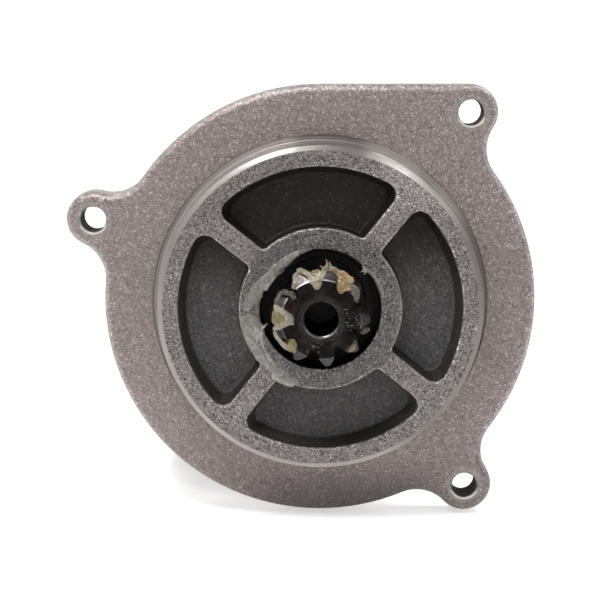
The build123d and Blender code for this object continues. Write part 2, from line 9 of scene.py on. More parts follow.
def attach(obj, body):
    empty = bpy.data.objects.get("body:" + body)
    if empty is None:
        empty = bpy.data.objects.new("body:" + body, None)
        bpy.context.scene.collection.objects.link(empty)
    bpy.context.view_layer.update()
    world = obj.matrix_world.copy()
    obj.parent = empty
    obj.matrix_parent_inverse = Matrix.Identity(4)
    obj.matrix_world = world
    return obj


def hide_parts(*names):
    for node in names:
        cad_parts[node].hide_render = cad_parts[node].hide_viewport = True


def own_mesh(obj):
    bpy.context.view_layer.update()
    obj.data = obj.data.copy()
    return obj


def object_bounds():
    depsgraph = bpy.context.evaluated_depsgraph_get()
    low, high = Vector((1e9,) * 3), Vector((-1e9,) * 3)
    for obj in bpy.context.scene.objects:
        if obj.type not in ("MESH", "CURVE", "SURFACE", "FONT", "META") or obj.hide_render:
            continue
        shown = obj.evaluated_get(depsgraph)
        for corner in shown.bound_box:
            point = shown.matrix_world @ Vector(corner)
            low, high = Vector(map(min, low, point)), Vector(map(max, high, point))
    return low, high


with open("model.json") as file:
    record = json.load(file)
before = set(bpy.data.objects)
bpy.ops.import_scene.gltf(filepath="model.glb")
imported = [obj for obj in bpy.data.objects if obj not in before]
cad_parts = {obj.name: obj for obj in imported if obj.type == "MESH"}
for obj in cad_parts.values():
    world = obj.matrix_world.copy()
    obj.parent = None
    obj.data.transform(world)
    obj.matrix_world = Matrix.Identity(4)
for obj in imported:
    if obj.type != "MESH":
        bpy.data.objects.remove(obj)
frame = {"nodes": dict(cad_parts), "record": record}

cad_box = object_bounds()
nodes = frame["nodes"]
MM = 0.001


# ------------------------------------------------------------------ node helpers
class Mat:
    """A Principled material and short ways to wire procedural nodes into it."""

    def __init__(self, name, metallic=0.0, rough=0.5, color=(0.5, 0.5, 0.5)):
        self.m = bpy.data.materials.new(name)
        self.m.use_nodes = True
        self.nt = self.m.node_tree
        self.bsdf = self.nt.nodes["Principled BSDF"]
        self.bsdf.inputs["Metallic"].default_value = metallic
        self.bsdf.inputs["Roughness"].default_value = rough
        self.bsdf.inputs["Base Color"].default_value = (*color, 1)
        tc = self.nt.nodes.new("ShaderNodeTexCoord")
        self.P = tc.outputs["Object"]
        sep = self.nt.nodes.new("ShaderNodeSeparateXYZ")
        self.nt.links.new(self.P, sep.inputs[0])
        self.x, self.y, self.z = sep.outputs
        self.N = tc.outputs["Normal"]
        sn = self.nt.nodes.new("ShaderNodeSeparateXYZ")
        self.nt.links.new(self.N, sn.inputs[0])
        self.nx, self.ny, self.nz = sn.outputs

    def put(self, sock, v):
        if isinstance(v, bpy.types.NodeSocket):
            self.nt.links.new(v, sock)
        else:
            sock.default_value = v

    def math(self, op, a, b=None, c=None, clamp=False):
        n = self.nt.nodes.new("ShaderNodeMath")
        n.operation = op
        n.use_clamp = clamp
        for i, v in enumerate((a, b, c)):
            if v is not None:
                self.put(n.inputs[i], v)
        return n.outputs[0]

    def step(self, v, lo, hi):
        """0 below lo, 1 above hi, smooth between. With lo > hi it falls instead."""
        n = self.nt.nodes.new("ShaderNodeMapRange")
        n.interpolation_type = "SMOOTHSTEP"
        self.put(n.inputs["Value"], v)
        if lo <= hi:
            n.inputs["From Min"].default_value = lo
            n.inputs["From Max"].default_value = hi
        else:
            n.inputs["From Min"].default_value = hi
            n.inputs["From Max"].default_value = lo
            n.inputs["To Min"].default_value = 1
            n.inputs["To Max"].default_value = 0
        return n.outputs["Result"]

    def lin(self, v, a, b, c, d):
        n = self.nt.nodes.new("ShaderNodeMapRange")
        self.put(n.inputs["Value"], v)
        for k, w in zip(("From Min", "From Max", "To Min", "To Max"), (a, b, c, d)):
            n.inputs[k].default_value = w
        return n.outputs["Result"]

    def mul(self, *vs):
        out = vs[0]
        for v in vs[1:]:
            out = self.math("MULTIPLY", out, v)
        return out

    def radius(self, cx=0.0, cz=0.0, x=None, z=None):
        dx = self.math("SUBTRACT", self.x if x is None else x, cx)
        dz = self.math("SUBTRACT", self.z if z is None else z, cz)
        return self.math("SQRT", self.math("ADD", self.math("MULTIPLY", dx, dx), self.math("MULTIPLY", dz, dz)))

    def mapped(self, scale=(1, 1, 1), loc=(0, 0, 0), rot=(0, 0, 0)):
        n = self.nt.nodes.new("ShaderNodeMapping")
        self.nt.links.new(self.P, n.inputs["Vector"])
        n.inputs["Scale"].default_value = scale
        n.inputs["Location"].default_value = loc
        n.inputs["Rotation"].default_value = rot
        return n.outputs[0]

    def noise(self, scale, detail=3.0, rough=0.6, vec=None, dist=0.0):
        n = self.nt.nodes.new("ShaderNodeTexNoise")
        n.inputs["Scale"].default_value = scale
        n.inputs["Detail"].default_value = detail
        n.inputs["Roughness"].default_value = rough
        n.inputs["Distortion"].default_value = dist
        self.nt.links.new(vec or self.P, n.inputs["Vector"])
        return n.outputs["Fac"]

    def voronoi(self, scale, feature="F1", out="Distance", vec=None):
        n = self.nt.nodes.new("ShaderNodeTexVoronoi")
        n.feature = feature
        n.inputs["Scale"].default_value = scale
        self.nt.links.new(vec or self.P, n.inputs["Vector"])
        return n.outputs[out]

    def split(self, v):
        n = self.nt.nodes.new("ShaderNodeSeparateXYZ")
        self.nt.links.new(v, n.inputs[0])
        return n.outputs

    def vec(self, op, a, b=None, scale=None):
        n = self.nt.nodes.new("ShaderNodeVectorMath")
        n.operation = op
        self.put(n.inputs[0], a)
        if b is not None:
            self.put(n.inputs[1], b)
        if scale is not None:
            self.put(n.inputs["Scale"], scale)
        return n.outputs[0]

    def tilted(self, cells, amount):
        """The surface normal, tipped a random way in each cell."""
        g = self.nt.nodes.new("ShaderNodeNewGeometry")
        away = self.vec("SUBTRACT", cells, (0.5, 0.5, 0.5))
        return self.vec("NORMALIZE", self.vec("ADD", g.outputs["Normal"], self.vec("SCALE", away, scale=amount)))

    def ringed(self, rings, amount, normal):
        """Tips a normal up and down across fine grooves that run round the Y axis."""
        g = self.nt.nodes.new("ShaderNodeNewGeometry")
        run_dir = self.combine(self.mul(self.z, -1.0), 0.0, self.x)
        n = self.nt.nodes.new("ShaderNodeVectorMath")
        n.operation = "CROSS_PRODUCT"
        self.nt.links.new(g.outputs["Normal"], n.inputs[0])
        self.nt.links.new(self.vec("NORMALIZE", run_dir), n.inputs[1])
        tip = self.math("MULTIPLY", self.math("SUBTRACT", rings, 0.5), amount)
        return self.vec("NORMALIZE", self.vec("ADD", normal, self.vec("SCALE", n.outputs[0], scale=tip)))

    def combine(self, x, y, z):
        n = self.nt.nodes.new("ShaderNodeCombineXYZ")
        for i, v in enumerate((x, y, z)):
            self.put(n.inputs[i], v)
        return n.outputs[0]

    def ramp(self, fac, stops):
        n = self.nt.nodes.new("ShaderNodeValToRGB")
        cr = n.color_ramp
        while len(cr.elements) < len(stops):
            cr.elements.new(0.5)
        for e, (p, c) in zip(cr.elements, stops):
            e.position = p
            e.color = (*c, 1) if len(c) == 3 else c
        self.nt.links.new(fac, n.inputs[0])
        return n.outputs[0]

    def mix(self, fac, a, b, blend="MIX"):
        n = self.nt.nodes.new("ShaderNodeMix")
        n.data_type = "RGBA"
        n.blend_type = blend
        self.put(n.inputs[0], fac)
        for s, v in ((n.inputs[6], a), (n.inputs[7], b)):
            if isinstance(v, bpy.types.NodeSocket):
                self.nt.links.new(v, s)
            else:
                s.default_value = (*v, 1) if not isinstance(v, float) else (v, v, v, 1)
        return n.outputs[2]

    def mixf(self, fac, a, b):
        n = self.nt.nodes.new("ShaderNodeMix")
        n.data_type = "FLOAT"
        self.put(n.inputs[0], fac)
        self.put(n.inputs[2], a)
        self.put(n.inputs[3], b)
        return n.outputs[0]

    def bump(self, height, strength=0.5, dist=0.0002, normal=None):
        n = self.nt.nodes.new("ShaderNodeBump")
        self.put(n.inputs["Strength"], strength)
        n.inputs["Distance"].default_value = dist
        self.nt.links.new(height, n.inputs["Height"])
        if normal is not None:
            self.nt.links.new(normal, n.inputs["Normal"])
        self.nt.links.new(n.outputs[0], self.bsdf.inputs["Normal"])
        return n.outputs[0]

    def color(self, v):
        self.put(self.bsdf.inputs["Base Color"], v)
        return self

    def rough(self, v):
        self.put(self.bsdf.inputs["Roughness"], v)
        return self

    def metal(self, v):
        self.put(self.bsdf.inputs["Metallic"], v)
        return self


def dress(obj, mat):
    obj.data.materials.clear()
    obj.data.materials.append(mat.m if isinstance(mat, Mat) else mat)


# ------------------------------------------------------------------ materials
EAR_R = 81.3 * MM
FLANGE_TONE = (0.212, 0.182, 0.172)
FACE_TONE = (0.160, 0.142, 0.137)
BOSS_TONE = (0.104, 0.094, 0.091)
EARS = [(EAR_R * math.cos(math.radians(a)), EAR_R * math.sin(math.radians(a))) for a in (51.82, 159.8, 307.9)]


def cast_aluminium():
    """Blasted casting: a skin of small bright and dark facets, turned bands on the pilot, shallow faced rings at the
    holes, smoother pockets painted dark as shade, and painted shade and highlights in places.
    """
    m = Mat("cast_aluminium", metallic=0.5, rough=0.45)
    r = m.radius()
    nx, ny, nz = m.nx, m.ny, m.nz
    # zones
    front = m.step(m.y, -13.9 * MM, -14.3 * MM)                      # pilot's front face
    turned = m.mul(m.step(r, 52.30 * MM, 52.44 * MM), m.step(r, 56.75 * MM, 56.55 * MM), m.step(m.y, 1.0 * MM, 0.9 * MM))
    spots = None
    holes = None
    painted_lip_glint = None
    for ex, ez in EARS:
        d = m.radius(ex, ez)
        s = m.step(d, 6.45 * MM, 6.0 * MM)
        h = m.mul(m.step(d, 4.50 * MM, 4.36 * MM), m.step(m.y, 0.35 * MM, 0.65 * MM))
        w = m.mul(m.step(d, 4.32 * MM, 4.55 * MM), m.step(d, 5.25 * MM, 4.85 * MM), m.step(m.math("SUBTRACT", m.z, ez), -1.4 * MM, -3.0 * MM), m.step(m.y, 1.2 * MM, 0.9 * MM))
        spots = s if spots is None else m.math("MAXIMUM", spots, s)
        holes = h if holes is None else m.math("MAXIMUM", holes, h)
        painted_lip_glint = w if painted_lip_glint is None else m.math("MAXIMUM", painted_lip_glint, w)
    faced = m.mul(spots, m.step(m.y, 0.5 * MM, 0.3 * MM))
    pocket = m.mul(m.step(r, 26.6 * MM, 26.9 * MM), m.step(r, 48.3 * MM, 48.0 * MM), m.step(m.y, -14.35 * MM, -13.7 * MM), m.step(m.y, 0.0, -2.0 * MM))
    boss = m.mul(front, m.step(r, 28.6 * MM, 27.2 * MM))
    nose = m.mul(m.step(r, 20.9 * MM, 20.4 * MM), m.step(m.y, -14.75 * MM, -14.2 * MM))
    rounded = m.mul(front, m.step(m.math("ABSOLUTE", ny), 0.985, 0.86), m.step(r, 51.5 * MM, 51.0 * MM))
    # facets of the blasted skin: random tone and tilt from grain to grain
    cell_a = m.voronoi(2350, out="Color")
    cell_b = m.voronoi(1700, out="Color")
    ra, rb = m.split(cell_a)[0], m.split(cell_b)[0]
    fine = m.noise(2500, 2.0, 0.65)
    mid = m.noise(560, 3.0, 0.65)
    spark = m.step(ra, 0.86, 0.99)
    pit = m.step(ra, 0.20, 0.03)
    amount = m.mixf(front, 1.35, 2.2)
    val = m.math("ADD", m.mul(m.math("SUBTRACT", ra, 0.5), 0.34), m.mul(m.math("SUBTRACT", rb, 0.5), 0.20))
    val = m.math("ADD", val, m.mul(m.math("SUBTRACT", fine, 0.5), 1.1))
    val = m.math("ADD", val, m.mul(m.math("SUBTRACT", mid, 0.5), m.mixf(front, 0.8, 0.30)))
    val = m.math("ADD", val, m.math("SUBTRACT", m.mul(spark, m.mixf(front, 0.66, 0.55)), m.mul(pit, m.mixf(front, 0.08, 0.20))))
    val = m.math("MAXIMUM", m.math("ADD", m.mul(val, amount), 1.0), 0.14)
    # tone of each zone
    # painted shade: the flange skin darker towards the bottom, and darker still at its lower front edge (foot), where
    # less light falls
    low = m.step(m.z, -40 * MM, -78 * MM)
    skin = m.mix(m.mul(low, 0.55), FLANGE_TONE, tuple(c * 0.36 for c in FLANGE_TONE))
    foot = m.mul(m.step(m.z, -52 * MM, -70 * MM), m.step(m.math("ABSOLUTE", m.math("SUBTRACT", m.x, 8 * MM)), 44 * MM, 18 * MM), m.step(m.y, 6 * MM, 2 * MM))
    skin = m.mix(m.mul(foot, 0.74), skin, tuple(c * 0.16 for c in FLANGE_TONE))
    broad = m.noise(20, 3.0, 0.6)
    skin = m.mix(m.lin(broad, 0.36, 0.66, 0.0, 0.35), skin, (0.150, 0.118, 0.110))
    warm = m.noise(46, 2.0, 0.5)
    skin = m.mix(m.mul(m.step(warm, 0.54, 0.72), 0.34), skin, (0.178, 0.170, 0.134))
    # painted shade: the face ring darker to the upper left
    upleft = m.mul(m.step(m.z, 10 * MM, 42 * MM), m.step(m.x, 22 * MM, -6 * MM))
    ring = m.mix(m.mul(upleft, 0.34), FACE_TONE, tuple(c * 0.55 for c in FACE_TONE))
    ring = m.mix(m.lin(m.noise(55, 3.0, 0.6), 0.35, 0.65, 0.0, 0.30), ring, tuple(c * 0.62 for c in FACE_TONE))
    # painted light: the face ring lighter to the upper right
    upright = m.mul(m.step(m.x, 14 * MM, 26 * MM), m.step(m.x, 44 * MM, 34 * MM), m.step(m.z, 26 * MM, 40 * MM))
    ring = m.mix(m.mul(upright, 0.55), ring, tuple(c * 1.75 for c in FACE_TONE))
    ring = m.mix(boss, ring, BOSS_TONE)
    skin = m.mix(front, skin, ring)
    # painted highlight and edge wear: the rounded edges on the pilot's front lighter
    skin = m.mix(m.mul(rounded, 0.45), skin, (0.42, 0.39, 0.37))
    # pockets: a smoother die skin, painted darker as shade in these recesses; painted shade makes the top pocket darker
    # still and painted light the side ones a little lighter; the walls are painted darkest as shade
    pn = m.noise(700, 3.0, 0.7)
    pc = m.voronoi(1900, out="Color")
    pr = m.split(pc)[0]
    pk = m.ramp(pn, [(0.3, (0.034, 0.032, 0.031)), (0.6, (0.056, 0.053, 0.052)), (0.85, (0.110, 0.106, 0.104))])
    upper = m.step(m.z, 2 * MM, 30 * MM)
    pk = m.mix(m.mul(upper, 0.90), pk, (0.0175, 0.0135, 0.0112))
    side = m.mul(m.step(m.math("ABSOLUTE", m.x), 24 * MM, 38 * MM), m.step(m.z, 10 * MM, -12 * MM))
    pk = m.mix(m.mul(side, 0.12), pk, (0.085, 0.085, 0.088))
    # painted shade: the pocket walls darker still
    wall = m.step(m.math("ABSOLUTE", ny), 0.80, 0.35)
    pk = m.mix(m.mul(wall, 0.62), pk, (0.012, 0.011, 0.010))
    pval = m.math("ADD", m.mul(m.math("SUBTRACT", pr, 0.5), m.mixf(upper, 1.15, 0.6)), 1.0)
    pval = m.math("ADD", pval, m.mul(m.step(pr, 0.88, 0.99), m.mixf(upper, 0.9, 1.9)))
    val = m.mixf(pocket, val, pval)
    # turned metal: fine rings
    rings = m.noise(1.0, 1.0, 0.5, vec=m.combine(m.mul(r, 9000.0), m.mul(m.y, 9000.0), 0.0))
    tcol = m.ramp(rings, [(0.3, (0.285, 0.261, 0.248)), (0.7, (0.36, 0.334, 0.320))])
    tcol = m.mix(m.step(m.noise(60, 2.0, 0.5), 0.5, 0.7), tcol, (0.305, 0.278, 0.263))
    # painted highlight: the turned side band lighter over its upper half
    girth = m.mul(m.step(m.math("ABSOLUTE", ny), 0.35, 0.15), m.step(m.z, 4 * MM, 20 * MM))
    tcol = m.mix(m.mul(girth, 0.60), tcol, (0.52, 0.49, 0.47))
    # painted shade: the turned band darker at its top and on its far left
    crown = m.mul(m.step(m.math("ABSOLUTE", m.math("SUBTRACT", m.x, 3 * MM)), 14 * MM, 9 * MM), m.step(m.z, 30 * MM, 40 * MM))
    tcol = m.mix(m.mul(crown, 0.60), tcol, (0.14, 0.129, 0.123))
    tcol = m.mix(m.mul(m.step(m.x, -36 * MM, -50 * MM), 0.35), tcol, (0.16, 0.150, 0.143))
    # painted highlight: a bright streak on the turned band to the upper right
    painted_glint = m.mul(m.step(m.x, 15 * MM, 20 * MM), m.step(m.x, 36 * MM, 31 * MM), m.step(m.z, 38 * MM, 43 * MM))
    tcol = m.mix(m.mul(painted_glint, m.mixf(m.step(m.math("ABSOLUTE", ny), 0.45, 0.25), 0.0, 0.96)), tcol, (0.98, 0.95, 0.92))
    # painted light: the groove at the band's root lightened against its own shade, more so lower down
    seam = m.mul(m.step(m.y, -1.6 * MM, -0.9 * MM), m.step(r, 55.4 * MM, 55.1 * MM))
    tcol = m.mix(m.mul(seam, m.mixf(m.step(m.z, 44 * MM, 34 * MM), 0.25, 0.60)), tcol, (0.50, 0.47, 0.45))
    # painted shade: the turned band darker to the right
    painted_shade = m.mul(m.step(m.x, 14 * MM, 38 * MM), m.step(m.z, 36 * MM, 20 * MM), m.step(m.z, -58 * MM, -44 * MM))
    tcol = m.mix(m.mul(painted_shade, 0.74), tcol, (0.112, 0.098, 0.091))
    # painted highlight along the flange's rounded outer edge, left off at the bottom
    rolled = m.mul(m.step(m.math("ABSOLUTE", ny), 0.97, 0.80), m.step(m.math("ABSOLUTE", ny), 0.12, 0.35), m.step(r, 59 * MM, 61 * MM), m.step(m.y, 4 * MM, 3 * MM), m.step(m.z, -56 * MM, -34 * MM))
    skin = m.mix(m.mul(rolled, 0.45), skin, (0.36, 0.325, 0.310))
    col = m.mix(pocket, skin, pk)
    col = m.mix(1.0, col, m.combine(val, val, val), "MULTIPLY")
    col = m.mix(turned, col, tcol)
    col = m.mix(m.mul(faced, 0.22), col, (0.34, 0.315, 0.300))
    # painted highlight: a bright crescent on the lower edge of each ear hole
    col = m.mix(m.mul(painted_lip_glint, 0.75), col, (0.66, 0.62, 0.58))
    # painted shade: the ear holes' walls near-black
    col = m.mix(m.mul(holes, 0.94), col, (0.030, 0.026, 0.022))
    # painted shade in the nose bore, which is also oily: near-black
    col = m.mix(nose, col, (0.0050, 0.0045, 0.0045))
    m.color(col)
    rg = m.lin(ra, 0.0, 1.0, 0.34, 0.62)
    rg = m.mixf(pocket, rg, m.lin(pr, 0.0, 1.0, 0.50, 0.80))
    rg = m.mixf(faced, rg, 0.40)
    rg = m.mixf(turned, rg, m.lin(rings, 0.3, 0.7, 0.37, 0.43))
    rg = m.mixf(rounded, rg, 0.34)
    m.rough(m.mixf(holes, rg, 1.0))
    mt = m.mixf(pocket, m.mixf(turned, 0.5, 0.97), m.mixf(upper, 0.40, 0.75))
    m.metal(m.mixf(nose, m.mixf(holes, mt, 0.0), 0.75))
    tilt = m.mul(m.math("SUBTRACT", 1.0, turned), m.math("SUBTRACT", 1.0, nose), m.mixf(pocket, m.mixf(front, 0.30, 0.75), 0.25))
    nrm = m.ringed(rings, m.mul(turned, m.mixf(m.step(m.math("ABSOLUTE", ny), 0.35, 0.15), 2.0, 3.6)), m.tilted(cell_a, tilt))
    v = m.voronoi(1250)
    h = m.math("ADD", m.mul(v, 0.5), m.mul(mid, 1.1))
    hb = m.mixf(turned, m.mixf(pocket, h, m.mul(pn, 0.6)), m.mul(rings, 0.16))
    m.bump(hb, 0.7, 0.00026, normal=nrm)
    return m


def steel(name, base, rough, brush_axis=None, spread=0.12, metal=1.0, scale=2600):
    """Machined steel with fine tool marks running round the Y axis or along it."""
    m = Mat(name, metallic=metal, rough=rough)
    if brush_axis == "turned":
        vec = m.combine(m.mul(m.radius(), float(scale)), m.mul(m.y, float(scale)), 0.0)
        t = m.noise(1.0, 2.0, 0.6, vec=vec)
    else:
        t = m.noise(float(scale), 3.0, 0.6)
    broad = m.noise(140, 3.0, 0.6)
    lo = tuple(c * (1 - spread) for c in base)
    hi = tuple(min(1.0, c * (1 + spread)) for c in base)
    c = m.ramp(t, [(0.3, lo), (0.7, hi)])
    m.color(m.mix(m.lin(broad, 0.35, 0.7, 0.0, 0.25), c, tuple(v * 0.72 for v in base)))
    m.rough(m.lin(broad, 0.3, 0.7, rough * 0.8, min(1, rough * 1.3)))
    m.bump(t, 0.25, 0.00004)
    return m


def pinion_steel():
    """Blackened, oily steel; the bevels on the front of the teeth are rubbed bare, with painted highlight on those to
    the upper left, along their inner edge and on the lower lip of the bore.
    """
    m = Mat("pinion_steel", metallic=0.9, rough=0.3)
    r = m.radius()
    slope = m.mul(m.step(m.ny, -0.93, -0.86), m.step(m.ny, -0.60, -0.68))
    bevel = m.mul(slope, m.step(r, 12.45 * MM, 12.70 * MM), m.step(m.y, -31.0 * MM, -31.3 * MM))
    edge = m.mul(m.step(r, 12.50 * MM, 12.72 * MM), m.step(r, 13.15 * MM, 12.80 * MM), m.step(m.y, -33.3 * MM, -33.6 * MM))
    rim = m.mul(m.step(r, 7.75 * MM, 7.55 * MM), m.step(m.y, -33.0 * MM, -33.2 * MM))
    lip = m.mul(m.step(r, 6.25 * MM, 6.05 * MM), m.step(m.y, -32.9 * MM, -33.1 * MM))
    hole = m.mul(m.step(r, 5.56 * MM, 5.50 * MM))
    n = m.noise(900, 3.0, 0.65)
    w = m.noise(190, 3.0, 0.6)
    black = m.ramp(w, [(0.3, (0.0038, 0.0032, 0.0032)), (0.55, (0.0085, 0.0070, 0.0068)), (0.8, (0.030, 0.026, 0.025))])
    flank = m.ramp(w, [(0.3, (0.035, 0.030, 0.026)), (0.7, (0.10, 0.085, 0.072))])
    black = m.mix(m.mul(m.step(m.math("ABSOLUTE", m.ny), 0.5, 0.2), m.step(r, 9.0 * MM, 9.5 * MM)), black, flank)
    left = m.step(m.x, 1.0 * MM, -8.0 * MM)
    black = m.mix(m.mul(left, m.step(w, 0.42, 0.62), 0.5), black, (0.030, 0.015, 0.013))
    bare = m.ramp(n, [(0.3, (0.052, 0.045, 0.043)), (0.55, (0.100, 0.088, 0.084)), (0.8, (0.18, 0.162, 0.155))])
    painted_shade = m.ramp(n, [(0.3, (0.011, 0.011, 0.0115)), (0.7, (0.034, 0.033, 0.034))])
    # painted light: the bevels to the upper left, and some at the bottom, take the bright bare colour; the rest get the
    # painted shade
    across = m.math("ADD", m.mul(m.x, -0.5), m.mul(m.z, 0.85))
    painted_lit_bevels = m.math("ADD", m.step(across, 3.0 * MM, 14.0 * MM), m.mul(m.step(m.z, -8.0 * MM, -14.0 * MM), 0.30), clamp=True)
    bare = m.mix(painted_lit_bevels, painted_shade, bare)
    c = m.mix(bevel, black, bare)
    # painted highlight along the inner edge of the bevels, strongest to the upper left
    c = m.mix(m.mul(edge, m.step(m.noise(260, 2.0, 0.5), 0.38, 0.55), m.math("ADD", m.mul(m.step(across, 4.0 * MM, 10.0 * MM), 0.85), 0.10)), c, (0.55, 0.51, 0.46))
    c = m.mix(m.mul(rim, 0.8), c, m.ramp(n, [(0.35, (0.012, 0.011, 0.011)), (0.75, (0.045, 0.042, 0.041))]))
    # painted highlight on the lower part of the bore's lip
    c = m.mix(m.mul(lip, m.math("ADD", m.mul(m.step(m.z, -1.0 * MM, -5.0 * MM), 0.5), 0.08)), c, (0.30, 0.285, 0.27))
    # beads of oil on the lower right, drawn as bright painted glints
    beads = m.mul(m.step(m.noise(1300, 1.0, 0.5), 0.60, 0.66), m.step(m.noise(240, 2.0, 0.5), 0.46, 0.58), m.step(m.math("SUBTRACT", m.x, m.z), 0.0, 6.0 * MM), m.step(m.y, -32.8 * MM, -33.1 * MM), m.step(r, 6.2 * MM, 6.6 * MM))
    c = m.mix(m.mul(beads, 0.38), c, (0.26, 0.25, 0.24))
    c = m.mix(hole, c, (0.006, 0.0055, 0.005))
    m.color(c)
    turned = m.noise(1.0, 1.0, 0.5, vec=m.combine(m.mul(r, 4200.0), 0.0, 0.0))
    m.rough(m.mixf(bevel, m.lin(w, 0.3, 0.7, 0.20, 0.40), 0.36))
    m.bump(m.math("ADD", m.mul(turned, 0.5), m.mul(n, 0.8)), 0.5, 0.00009)
    return m


def paint(name, base, rough=0.38, peel=0.25):
    m = Mat(name, metallic=0.0, rough=rough)
    n = m.noise(320, 3.0, 0.55)
    b = m.noise(28, 3.0, 0.6)
    hi = tuple(min(1, c * 1.9 + 0.006) for c in base)
    c = m.ramp(b, [(0.3, base), (0.75, hi)])
    dust = m.noise(900, 2.0, 0.7)
    m.color(m.mix(m.mul(m.step(dust, 0.66, 0.80), 0.5), c, (0.16, 0.15, 0.14)))
    m.rough(m.lin(b, 0.3, 0.7, rough * 0.85, rough * 1.35))
    m.bsdf.inputs["Coat Weight"].default_value = 0.25
    m.bsdf.inputs["Coat Roughness"].default_value = 0.25
    m.bump(n, peel, 0.0002)
    return m


def moulded(name, base, rough=0.5, fibre=0.5):
    m = Mat(name, metallic=0.0, rough=rough)
    n = m.noise(520, 4.0, 0.7, dist=0.6)
    b = m.noise(45, 2.0, 0.5)
    c = m.ramp(n, [(0.3, tuple(c * 0.75 for c in base)), (0.6, base), (0.85, tuple(min(1, c * 1.6 + 0.01) for c in base))])
    m.color(m.mix(m.lin(b, 0.35, 0.7, 0.0, 0.3), c, tuple(v * 0.6 for v in base)))
    m.rough(m.lin(n, 0.3, 0.7, rough * 0.8, min(1, rough * 1.25)))
    m.bump(n, 0.3 * fibre + 0.1, 0.0002)
    return m


def zinc(name="zinc_plate", base=(0.56, 0.54, 0.47)):
    m = Mat(name, metallic=0.95, rough=0.32)
    n = m.noise(260, 3.0, 0.6)
    s = m.noise(1800, 2.0, 0.6)
    c = m.ramp(n, [(0.28, tuple(c * 0.86 for c in base)), (0.5, base), (0.75, (0.60, 0.57, 0.49))])
    m.color(m.mix(m.mul(m.step(s, 0.6, 0.75), 0.3), c, (0.30, 0.29, 0.27)))
    m.rough(m.lin(n, 0.3, 0.7, 0.24, 0.45))
    m.bump(s, 0.25, 0.00006)
    return m


def copper(name, base=(0.70, 0.33, 0.19), rough=0.3):
    m = Mat(name, metallic=1.0, rough=rough)
    n = m.noise(180, 4.0, 0.65)
    c = m.ramp(n, [(0.3, tuple(c * 0.5 for c in base)), (0.55, base), (0.8, tuple(min(1, c * 1.15) for c in base))])
    m.color(c)
    m.rough(m.lin(n, 0.3, 0.7, rough * 0.8, rough * 1.5))
    m.bump(m.noise(1500, 2.0, 0.6), 0.25, 0.00005)
    return m


def wound(name, base, pitch, along_y=True):
    """Enamelled wire in turns: narrow ridges across the winding."""
    m = Mat(name, metallic=0.35, rough=0.3)
    k = 2 * math.pi / pitch
    ridge = m.math("SINE", m.math("MULTIPLY", m.y if along_y else m.radius(), k))
    n = m.noise(320, 2.0, 0.5)
    c = m.ramp(n, [(0.3, tuple(c * 0.6 for c in base)), (0.7, base)])
    # painted shade in the grooves between the turns
    c = m.mix(m.step(ridge, 0.2, -0.9), c, tuple(v * 0.25 for v in base))
    m.color(c)
    m.rough(m.lin(n, 0.3, 0.7, 0.25, 0.42))
    m.bump(m.math("ADD", m.mul(ridge, 0.5), 0.5), 0.8, 0.0002)
    return m


def laminated(name):
    m = Mat(name, metallic=0.9, rough=0.4)
    t = m.math("SINE", m.math("MULTIPLY", m.y, 2 * math.pi / (0.5 * MM)))
    n = m.noise(90, 3.0, 0.6)
    c = m.ramp(n, [(0.3, (0.17, 0.17, 0.175)), (0.7, (0.27, 0.265, 0.26))])
    m.color(m.mix(m.step(t, -0.5, -0.98), c, (0.04, 0.035, 0.03)))
    m.rough(m.lin(n, 0.3, 0.7, 0.3, 0.5))
    m.bump(m.math("ADD", m.mul(t, 0.5), 0.5), 0.4, 0.00005)
    return m


ALU = cast_aluminium()
MATS = {
    "cast_aluminium": ALU,
    "bearing_steel": steel("bearing_steel", (0.46, 0.46, 0.47), 0.18, "turned"),
    "seal_rubber": moulded("seal_rubber", (0.0045, 0.0042, 0.0045), 0.75, 0.2),
    "pinion_steel": pinion_steel(),
    "bronze": steel("bronze", (0.52, 0.32, 0.14), 0.38, None, 0.2),
    "clutch_steel": steel("clutch_steel", (0.30, 0.29, 0.28), 0.35, "turned"),
    "bright_steel": steel("bright_steel", (0.48, 0.48, 0.48), 0.26, "turned"),
    "zinc_steel": zinc(),
    "fork_plastic": moulded("fork_plastic", (0.022, 0.022, 0.024), 0.5, 0.7),
    "black_paint": paint("black_paint", (0.012, 0.012, 0.013)),
    "magnet": moulded("magnet", (0.045, 0.044, 0.045), 0.65, 0.9),
    "gear_steel": steel("gear_steel", (0.24, 0.235, 0.23), 0.3, None, 0.18),
    "phenolic": moulded("phenolic", (0.020, 0.016, 0.014), 0.42, 0.6),
    "winding_copper": wound("winding_copper", (0.55, 0.19, 0.06), 1.1 * MM),
    "copper": copper("copper"),
    "carbon": moulded("carbon", (0.035, 0.032, 0.030), 0.55, 1.0),
    "laminations": laminated("laminations"),
    "spring_steel": steel("spring_steel", (0.30, 0.30, 0.31), 0.25, None, 0.15),
    "soft_iron": steel("soft_iron", (0.26, 0.255, 0.25), 0.36, "turned"),
    "bobbin_plastic": moulded("bobbin_plastic", (0.55, 0.50, 0.36), 0.45, 0.3),
    "grommet_rubber": moulded("grommet_rubber", (0.014, 0.014, 0.014), 0.62, 0.2),
}
